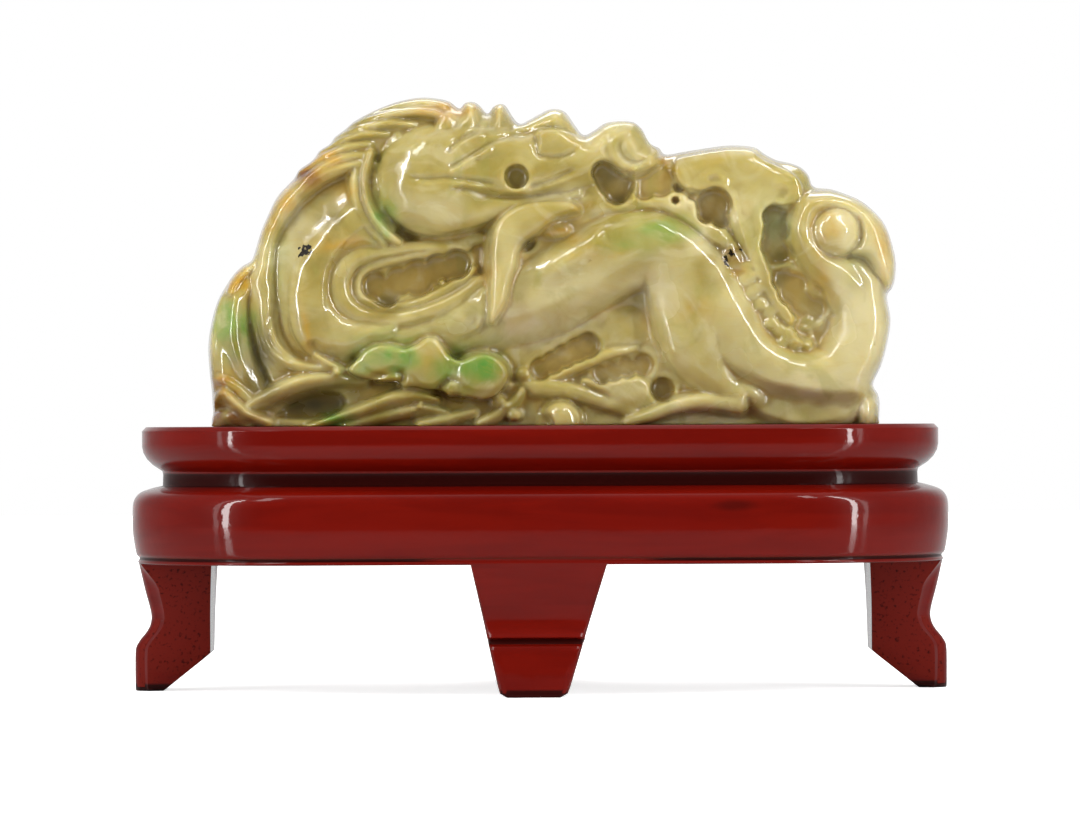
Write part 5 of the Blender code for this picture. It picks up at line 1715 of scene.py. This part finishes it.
@dataclass(frozen=True)
class LacquerFinish:
    """Deep red lacquer over wood, black in the grooves and worn duller inside the legs, with a painted dark
    reflection along the apron's lower lip.
    """

    red: tuple = (0.10, 0.0022, 0.0005, 1)
    bright: tuple = (0.145, 0.004, 0.001, 1)
    dull: tuple = (0.13, 0.009, 0.005, 1)
    black: tuple = (0.022, 0.0015, 0.001, 1)
    bare: tuple = (0.07, 0.02, 0.012, 1)
    cloud: tuple = (0.11, 0.003, 0.002, 1)
    waist_span: tuple = (44.9, 47.6)
    # Heights of the band along the apron's lower lip that is painted black as a painted dark reflection.
    painted_dark_lip_span: tuple = (28.9, 29.7)
    sole: float = 0.95
    ceiling_span: tuple = (39, 41)
    underside_span: tuple = (20, 42)

    def paint(self, stand: bpy.types.Object, sizes: WoodenStand) -> None:
        """Stores where the lacquer is black or dull, where the wood is bare, and the flat top; the black
        includes a painted dark reflection along the apron's lower lip.

        Args:
            stand: The stand's body.
            sizes: Its sizes.
        """
        mesh = stand.data
        place = coordinates(mesh) / MM
        x, y, z = place.T
        normals = np.empty(len(place) * 3)
        mesh.vertex_normals.foreach_get("vector", normals)
        normals = normals.reshape(-1, 3)
        low, high, _ = sizes.groove
        in_leg = (np.abs(z - (low + high) / 2) < 0.55) & (np.abs(y) > 40)
        waist, painted_dark_lip, ceiling, below = (
            (z > span[0]) & (z < span[1])
            for span in (self.waist_span, self.painted_dark_lip_span, self.ceiling_span, self.underside_span))
        upward = normals[:, 2]
        # The black band along the apron's lower lip is a painted dark reflection, not black lacquer.
        painted_dark_lip &= (upward > -0.7) & ((np.abs(x) > 16) | (np.abs(y) < 40))
        inside = (z < sizes.apron - 0.5) & (np.abs(normals[:, 1]) > 0.8) & (np.abs(x) > 60)
        for name, chosen in (("black", waist | in_leg | painted_dark_lip | (z < self.sole)),
                             ("dull", inside),
                             ("bare", (upward < -0.7) & below | ceiling & (np.abs(upward) > 0.9)),
                             ("table", z > sizes.slab[-1][0] - 0.05)):
            store(mesh, name, chosen.astype(float))

    def colour(self, nodes: Nodes, dull: Socket, black: Socket) -> Socket:
        """Lays the lacquer's streaks, stain, pores and painted grooves over each other.

        Args:
            nodes: The material's nodes.
            dull: Where the lacquer is worn dull.
            black: Where it is black.

        Returns:
            The colour.
        """
        streaks = nodes.noise(30, 4, (1, 1, 9), 0.4)
        clouds = nodes.noise(22, 2)
        colour = nodes.mix(nodes.spread(streaks, 0.35, 0.7, 0, 0.55), self.red, self.bright)
        colour = nodes.mix(nodes.spread(clouds, 0.5, 0.75, 0, 0.35), colour, self.cloud)
        colour = nodes.mix(dull, colour, self.dull)
        spot = nodes.add("Mapping", {"Vector": nodes.add("TexCoord").outputs["Object"],
                                     "Location": (-6.2, 2.4, -24), "Scale": (150, 50, 590)})
        stain = nodes.add("TexGradient", {"Vector": spot.outputs[0]}, gradient_type="SPHERICAL")
        colour = nodes.mix(nodes.spread(stain.outputs["Fac"], 0, 0.8, 0, 0.55), colour, self.black)
        pores = nodes.spread(nodes.noise(1400, 3), 0.55, 0.72, 0, 0.8)
        colour = nodes.mix(nodes.sum("MULTIPLY", pores, dull), colour, self.black)
        colour = nodes.mix(nodes.measure("bare"), colour, self.bare)
        return nodes.mix(nodes.spread(black, 0.3, 0.7), colour, self.black)

    def material(self) -> bpy.types.Material:
        """Makes the lacquer: its colours under a clear glossy coat.

        Returns:
            The material.
        """
        material, nodes, shader = new_material("Red lacquer")
        dull, black = nodes.measure("dull"), nodes.measure("black")
        nodes.tree.links.new(self.colour(nodes, dull, black), shader.inputs["Base Color"])
        nodes.tree.links.new(nodes.spread(dull, 0, 1, 0.3, 0.5), shader.inputs["Roughness"])
        uneven = polish(nodes, 30, (0.5, 0.5, 1.6), 300, 0.13, 0.001, 0.32)
        for name in ("Normal", "Coat Normal"):
            nodes.tree.links.new(uneven, shader.inputs[name])
        shine = nodes.spread(nodes.sum("MAXIMUM", dull, nodes.sum("MULTIPLY", black, 0.75)), 0, 1, 0.75, 0.12)
        shine = nodes.sum("MULTIPLY", shine, nodes.spread(nodes.measure("table"), 0.9, 1, 1, 0.12))
        nodes.tree.links.new(shine, shader.inputs["Coat Weight"])
        shader.inputs["Specular IOR Level"].default_value = 0.05
        shader.inputs["Coat Roughness"].default_value = 0.04
        shader.inputs["Coat IOR"].default_value = 1.36
        return material


@dataclass(frozen=True)
class Studio:
    """A white tent with tall strip lights, seen straight from the front."""

    distance: float = 1.35
    height: float = 0.059
    aim: float = 0.0604
    lens: float = 204.5
    roll: float = 0.27
    strip_angle: float = 53.0
    opening: float = 0.82
    walls: float = 0.3
    backdrop: float = 0.75
    fill: float = 0.79
    strips: tuple = (("Left strip", -1, 1.0), ("Right strip", 1, 1.5))
    strip_reach: float = 0.9
    strip_watts: float = 5.2
    edge_lamp: tuple = (0.13, 0.72, (0.05, 1.5), 0.8)
    lamps: tuple = (("Left top", (-0.43, -0.55, 1.0), (0.17, 0.5), 2),
                    ("Right top", (0.36, -0.56, 1.0), (0.14, 0.3), 1.2),
                    ("Overhead", (0, 0.1, 1.0), (0.9, 0.6), 1),
                    ("Behind", (0, 1.0, 0.95), (0.9, 0.3), 2.5))

    def camera(self) -> None:
        """Sets the camera up in front of the stand."""
        data = bpy.data.cameras.new("Camera")
        data.lens, data.sensor_width = self.lens, 36
        data.clip_start, data.clip_end = 0.05, 30
        camera = bpy.data.objects.new("Camera", data)
        camera.location = (0, -self.distance, self.height)
        tilt = math.atan2(self.aim - self.height, self.distance)
        camera.rotation_euler = (math.pi / 2 + tilt, math.radians(self.roll), 0)
        bpy.context.scene.collection.objects.link(camera)
        bpy.context.scene.camera = camera

    def light(self, name: str, place: tuple, size: tuple, watts: float) -> None:
        """Adds one soft lamp that faces the stone.

        Args:
            name: Its name.
            place: Where it stands, in metres.
            size: Its width and height.
            watts: Its power.
        """
        data = bpy.data.lights.new(name, "AREA")
        data.shape, data.size, data.size_y, data.energy = "RECTANGLE", *size, watts
        lamp = bpy.data.objects.new(name, data)
        lamp.location = place
        aim = Vector((0, 0, 0.07)) if place[2] > 0.9 else Vector((0, 0, place[2]))
        lamp.rotation_euler = (aim - lamp.location).to_track_quat("-Z", "Y").to_euler()
        bpy.context.scene.collection.objects.link(lamp)

    def beside(self, side: int, around: float, height: float) -> tuple:
        """Where a strip light stands.

        Args:
            side: -1 for the left, 1 for the right.
            around: Its angle from the front.
            height: Height of its middle.

        Returns:
            Its x, y and z.
        """
        reach = self.strip_reach
        return side * reach * math.sin(around), -reach * math.cos(around), height

    def tent(self) -> None:
        """Lights the room: white all round, darker toward the open front of the tent."""
        world = bpy.data.worlds.new("Tent")
        bpy.context.scene.world = world
        world.use_nodes = True
        nodes = Nodes(world.node_tree)
        back = world.node_tree.nodes["Background"]
        out = world.node_tree.nodes["World Output"]
        way = nodes.add("SeparateXYZ", {0: nodes.add("TexCoord").outputs["Generated"]}).outputs
        around = nodes.sum("ABSOLUTE", nodes.sum("ARCTAN2", way[0], nodes.sum("MULTIPLY", way[1], -1.0)), 0.0)
        walls = nodes.spread(around, self.opening - 0.06, self.opening + 0.1, 0.03, self.walls)
        walls = nodes.sum("ADD", walls, nodes.spread(around, 2.3, 2.9, 0, self.backdrop - self.walls))
        above = nodes.spread(way[2], 0.85, 0.97, 0, self.walls)
        mirrored = nodes.sum("MAXIMUM", walls, above)
        soft = nodes.spread(way[2], -0.6, 1.0, 0.8 * self.fill, 1.15 * self.fill)
        rays = nodes.add("LightPath").outputs
        glow = nodes.sum("ADD", nodes.sum("MULTIPLY", mirrored, rays["Is Glossy Ray"]),
                         nodes.sum("MULTIPLY", soft, nodes.sum("SUBTRACT", 1.0, rays["Is Glossy Ray"])))
        nodes.tree.links.new(glow, back.inputs["Strength"])
        back.inputs["Color"].default_value = (1, 1, 1, 1)
        seen = nodes.add("Background", {"Color": (1, 1, 1, 1), "Strength": 1.0})
        mix = nodes.add("MixShader", {0: rays["Is Camera Ray"], 1: back.outputs[0], 2: seen.outputs[0]})
        nodes.tree.links.new(mix.outputs[0], out.inputs["Surface"])

    def floor(self) -> None:
        """Lays the pale floor that the stand is on, evenly bright to the camera and with painted shade where
        it is seen in reflections.
        """
        bm = bmesh.new()
        bmesh.ops.create_grid(bm, x_segments=1, y_segments=1, size=2.5)
        mesh = bpy.data.meshes.new("floor")
        bm.to_mesh(mesh)
        bm.free()
        floor = new_piece("floor", mesh)
        material, nodes, shader = new_material("Pale floor")
        shade = nodes.spread(nodes.noise(3, 2), 0.3, 0.7)
        colour = nodes.mix(shade, (0.93, 0.93, 0.93, 1), (0.9, 0.9, 0.9, 1))
        rays = nodes.add("LightPath").outputs
        direct = rays["Is Camera Ray"]
        place = nodes.add("SeparateXYZ", {0: nodes.add("TexCoord").outputs["Object"]}).outputs
        # Painted shade that shows only in reflections: there the floor is grey near the stand and nearly
        # black farther toward the camera, standing in for the tent's dark open front.
        near = nodes.spread(place[1], -0.45, -0.25)
        mirrored = nodes.mix(near, (0.02, 0.02, 0.02, 1), (0.42, 0.42, 0.42, 1))
        colour = nodes.mix(rays["Is Glossy Ray"], colour, mirrored)
        nodes.tree.links.new(colour, shader.inputs["Base Color"])
        nodes.tree.links.new(nodes.spread(direct, 0, 1, 0.12, 0.9), shader.inputs["Roughness"])
        shader.inputs["Emission Color"].default_value = (1, 1, 1, 1)
        nodes.tree.links.new(nodes.spread(direct, 0, 1, 0, 0.68), shader.inputs["Emission Strength"])
        mesh.materials.append(material)

    def build(self) -> None:
        """Sets up the camera, the lights and the floor."""
        self.camera()
        self.tent()
        around = math.radians(self.strip_angle)
        wider, edge_height, edge_size, edge_watts = self.edge_lamp
        for name, side, tall in self.strips:
            place = self.beside(side, around, tall / 2 - 0.03)
            self.light(name, place, (0.06, tall), self.strip_watts * tall)
            place = self.beside(side, around + wider, edge_height)
            self.light(name + " edge", place, edge_size, edge_watts)
        for lamp in self.lamps:
            self.light(*lamp)
        self.floor()
        scene = bpy.context.scene
        scene.view_settings.view_transform = "Standard"
        scene.view_settings.look = "None"


def dress(piece: bpy.types.Object, node: str, material: bpy.types.Material) -> None:
    """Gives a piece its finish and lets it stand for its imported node.

    Args:
        piece: The finished piece.
        node: The node that it replaces.
        material: Its finish.
    """
    piece.data.materials.clear()
    piece.data.materials.append(material)
    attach(piece, "root")
    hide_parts(node)


def main() -> None:
    """Builds the studio, the stand and the carving, and notes the sizes."""
    logging.basicConfig(level=logging.INFO, format="%(name)s: %(message)s")
    Studio().build()
    stand, lacquer = WoodenStand(), LacquerFinish()
    body = stand.build()
    lacquer.paint(body, stand)
    dress(body, "wooden_stand", lacquer.material())
    carving, jade = JadeCarving(), JadeFinish()
    stone = carving.build()
    jade.paint(stone, carving.base)
    dress(stone, "jade_dragon", jade.material())
    for piece in (body, stone):
        count = sum(len(face.vertices) - 2 for face in piece.data.polygons)
        sides = [round(side / MM, 1) for side in piece.dimensions]
        LOG.info("%s: %d triangles, %s mm", piece.name, count, sides)


if __name__ == "__main__":
    main()
